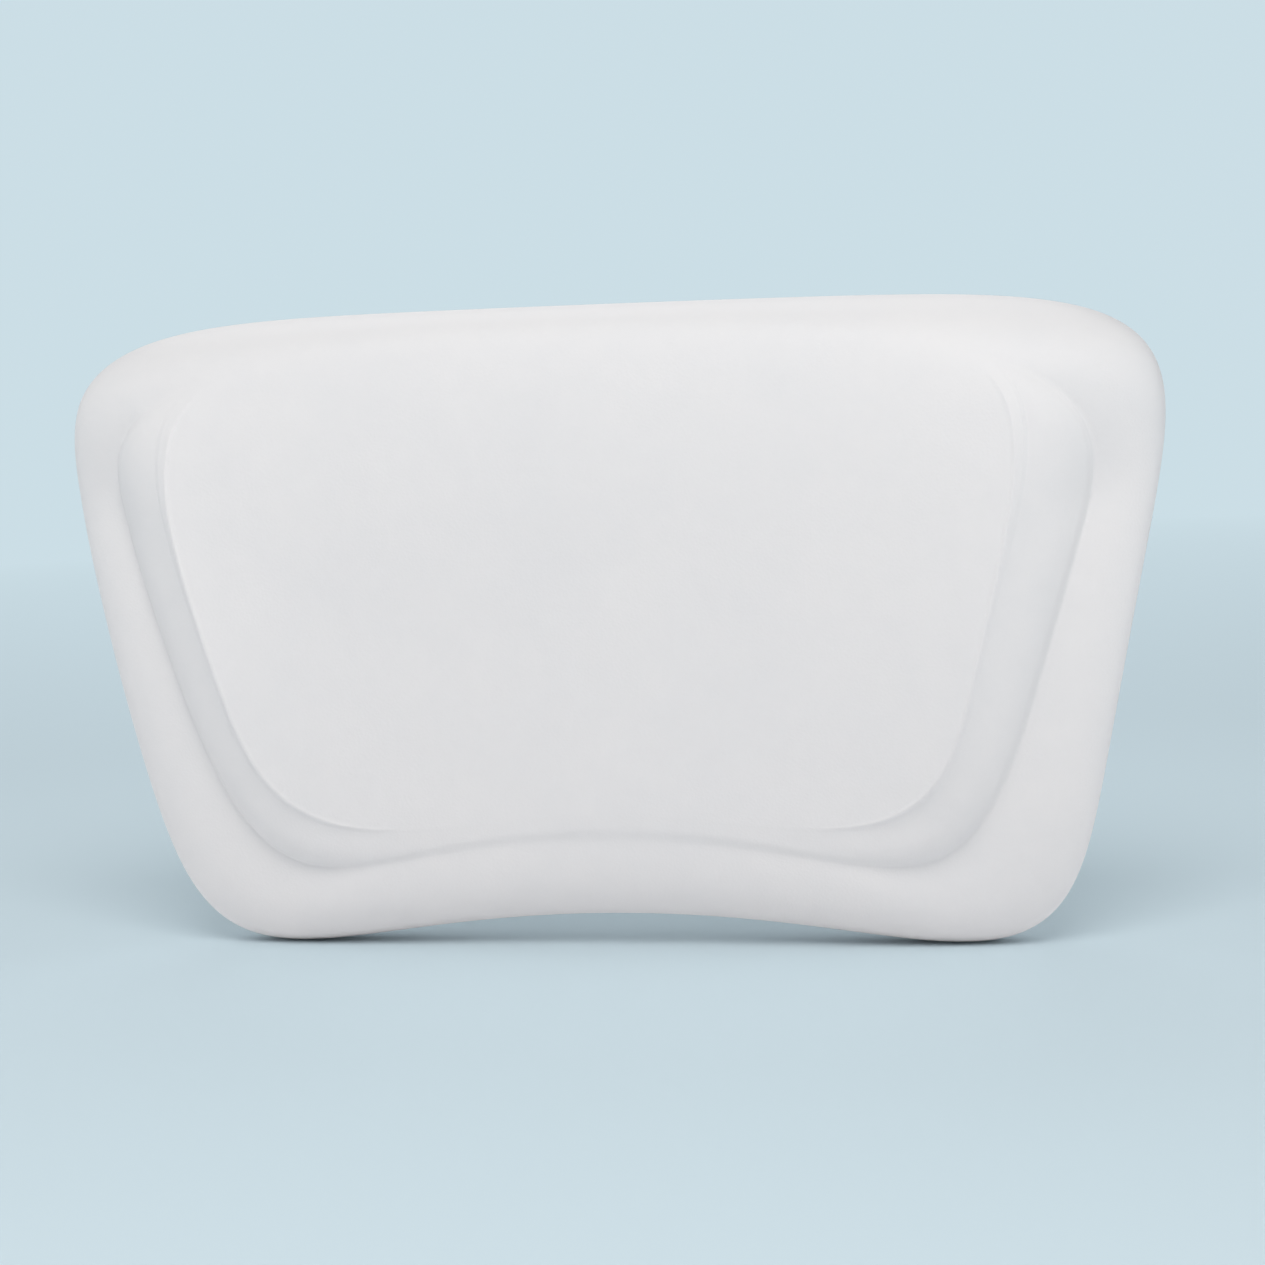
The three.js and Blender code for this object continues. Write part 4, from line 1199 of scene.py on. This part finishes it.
def make_camera(stage):
    """The camera looks at the target from its azimuth and elevation, and is turned about its own axis."""
    back = Vector((math.sin(stage.azimuth) * math.cos(stage.elevation),
                   -math.cos(stage.azimuth) * math.cos(stage.elevation), math.sin(stage.elevation)))
    target = Vector((0, -stage.target_y, stage.target_z))
    data = bpy.data.cameras.new("camera")
    data.lens = stage.lens
    data.sensor_width = 36
    data.shift_x = stage.shift_x
    data.shift_y = -stage.shift_y
    data.clip_start = 10 * MM
    camera = bpy.data.objects.new("camera", data)
    turned = back.to_track_quat("Z", "Y").to_matrix().to_4x4()
    camera.matrix_world = Matrix.Translation(target + back * stage.distance) @ turned @ Matrix.Rotation(
        -stage.roll, 4, "Z")
    bpy.context.scene.collection.objects.link(camera)
    bpy.context.scene.camera = camera


def make_floor(stage):
    """A wide disc under the pillow. Further out it fades into the backdrop's colour."""
    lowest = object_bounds()[0][2]
    turn = np.linspace(0, 2 * np.pi, 96, endpoint=False)
    rings = [np.array([[0.0, 0.0, lowest]])]
    for radius in FLOOR_RADII:
        rings.append(np.stack([radius * np.cos(turn), radius * np.sin(turn), lowest + 0 * turn], -1))
    points, quads, triangles = loft(rings)
    mesh = bpy.data.meshes.new("floor")
    faces = quads[:, ::-1].tolist() + triangles[:, ::-1].tolist()
    mesh.from_pydata(points.tolist(), [], faces)
    floor = bpy.data.objects.new("floor", mesh)
    bpy.context.scene.collection.objects.link(floor)
    floor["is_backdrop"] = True
    material = bpy.data.materials.new("floor")
    material.use_nodes = True
    tree = material.node_tree
    shader = tree.nodes["Principled BSDF"]
    path = node(tree, "ShaderNodeLightPath")
    tint = node(tree, "ShaderNodeMix", data_type="RGBA")
    tint.inputs[6].default_value = (*stage.bounce, 1.0)
    tint.inputs[7].default_value = (*stage.pale, 1.0)
    link(tree, path.outputs["Is Camera Ray"], tint.inputs[0])
    link(tree, tint.outputs[2], shader.inputs["Base Color"])
    shader.inputs["Roughness"].default_value = 0.8
    shader.inputs["Specular IOR Level"].default_value = 0.1
    place = node(tree, "ShaderNodeTexCoord")
    reach = node(tree, "ShaderNodeVectorMath", operation="LENGTH")
    share = node(tree, "ShaderNodeMapRange", {"From Min": FLOOR_FADE[0], "From Max": FLOOR_FADE[1]})
    glow = node(tree, "ShaderNodeEmission", {"Color": (*stage.pale, 1.0), "Strength": 1.0})
    mix = node(tree, "ShaderNodeMixShader")
    link(tree, place.outputs["Object"], reach.inputs[0])
    link(tree, reach.outputs["Value"], share.inputs["Value"])
    link(tree, share.outputs["Result"], mix.inputs[0])
    link(tree, shader.outputs[0], mix.inputs[1])
    link(tree, glow.outputs[0], mix.inputs[2])
    link(tree, mix.outputs[0], tree.nodes["Material Output"].inputs[0])
    mesh.materials.append(material)


def make_world(stage):
    """Soft light that changes evenly from below to above. The square of the share to the side adds to
    it, and so does the square of the share upright, each with its own strength. What is seen past or
    through the object has the backdrop's colour instead."""
    world = bpy.data.worlds.new("backdrop")
    bpy.context.scene.world = world
    world.use_nodes = True
    tree = world.node_tree
    soft = tree.nodes["Background"]
    soft.inputs["Color"].default_value = SOFT_TINT
    toward = node(tree, "ShaderNodeTexCoord")
    parts = node(tree, "ShaderNodeSeparateXYZ")
    level = node(tree, "ShaderNodeMapRange", {"From Min": -1.0, "From Max": 1.0,
                                              "To Min": stage.light_below, "To Max": stage.light_above})
    link(tree, toward.outputs["Generated"], parts.inputs[0])
    link(tree, parts.outputs["Z"], level.inputs["Value"])
    total = level.outputs["Result"]
    for axis, strength in (("X", stage.light_aside), ("Z", stage.light_upright)):
        square = node(tree, "ShaderNodeMath", operation="MULTIPLY")
        added = node(tree, "ShaderNodeMath", {1: strength}, operation="MULTIPLY_ADD")
        link(tree, parts.outputs[axis], square.inputs[0])
        link(tree, parts.outputs[axis], square.inputs[1])
        link(tree, square.outputs[0], added.inputs[0])
        link(tree, total, added.inputs[2])
        total = added.outputs[0]
    link(tree, total, soft.inputs["Strength"])
    seen = node(tree, "ShaderNodeBackground", {"Color": (*stage.pale, 1.0), "Strength": 1.0})
    path = node(tree, "ShaderNodeLightPath")
    either = node(tree, "ShaderNodeMath", operation="MAXIMUM")
    mix = node(tree, "ShaderNodeMixShader")
    link(tree, path.outputs["Is Camera Ray"], either.inputs[0])
    link(tree, path.outputs["Is Transmission Ray"], either.inputs[1])
    link(tree, either.outputs[0], mix.inputs[0])
    link(tree, soft.outputs[0], mix.inputs[1])
    link(tree, seen.outputs[0], mix.inputs[2])
    link(tree, mix.outputs[0], tree.nodes["World Output"].inputs[0])


def make_lamps(stage):
    """Large soft lamps: one above and to the right, one in front, one behind."""
    lamps = (
        ("front", (0.0, -1.7, 0.05), 0.7, stage.front_power, (0.95, 0.98, 1.0)),
        ("key", (0.2, -1.1, 1.2), 1.0, stage.key_power, (1.0, 0.95, 0.925)),
        ("behind", (-0.3, 1.2, 0.9), 1.2, stage.back_power, (0.97, 0.98, 1.0)),
    )
    for name, place, size, power, tint in lamps:
        data = bpy.data.lights.new(name, "AREA")
        data.shape = "DISK"
        data.size = size
        data.energy = power
        data.color = tint
        lamp = bpy.data.objects.new(name, data)
        facing = Vector(place).to_track_quat("Z", "Y").to_matrix().to_4x4()
        lamp.matrix_world = Matrix.Translation(Vector(place)) @ facing
        bpy.context.scene.collection.objects.link(lamp)


# Panel and registration


class PILLOW_PT_panel(bpy.types.Panel):
    """Lists the steps that make the bath pillow"""

    bl_idname = "PILLOW_PT_panel"
    bl_label = "Bath pillow"
    bl_space_type = "VIEW_3D"
    bl_region_type = "UI"
    bl_category = "Bath pillow"

    def draw(self, context):
        for operator in OPERATORS:
            self.layout.operator(operator.bl_idname)
        for group in GROUPS:
            settings = getattr(context.scene, group)
            box = self.layout.box()
            box.label(text=type(settings).__doc__)
            for name in type(settings).__annotations__:
                box.prop(settings, name)


GROUPS = {
    "pillow_body": PillowBody,
    "pillow_relief": PillowRelief,
    "pillow_holders": CupHolders,
    "pillow_fineness": PillowFineness,
    "pillow_finish": PillowFinish,
    "pillow_stage": PillowStage,
}
OPERATORS = (PILLOW_OT_front, PILLOW_OT_back, PILLOW_OT_sockets, PILLOW_OT_cups, PILLOW_OT_stage)


def register():
    """Registers the settings, the operators and the panel."""
    for name, group in GROUPS.items():
        bpy.utils.register_class(group)
        setattr(bpy.types.Scene, name, PointerProperty(type=group))
    for operator in OPERATORS:
        bpy.utils.register_class(operator)
    bpy.utils.register_class(PILLOW_PT_panel)


def unregister():
    """Takes everything out again that register put in."""
    bpy.utils.unregister_class(PILLOW_PT_panel)
    for operator in reversed(OPERATORS):
        bpy.utils.unregister_class(operator)
    for name, group in reversed(GROUPS.items()):
        delattr(bpy.types.Scene, name)
        bpy.utils.unregister_class(group)


def corners(box):
    """The two corners of a box as plain lists."""
    return [[float(value) for value in corner] for corner in box]


def main():
    """Makes the pillow and its stage."""
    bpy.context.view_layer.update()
    register()
    scene = bpy.context.scene
    scene.view_settings.view_transform = "Standard"
    bpy.ops.pillow.stage()
    bpy.ops.pillow.front()
    bpy.ops.pillow.back()
    bpy.ops.pillow.sockets()
    bpy.ops.pillow.cups()
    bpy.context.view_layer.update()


if __name__ == "__main__":
    main()
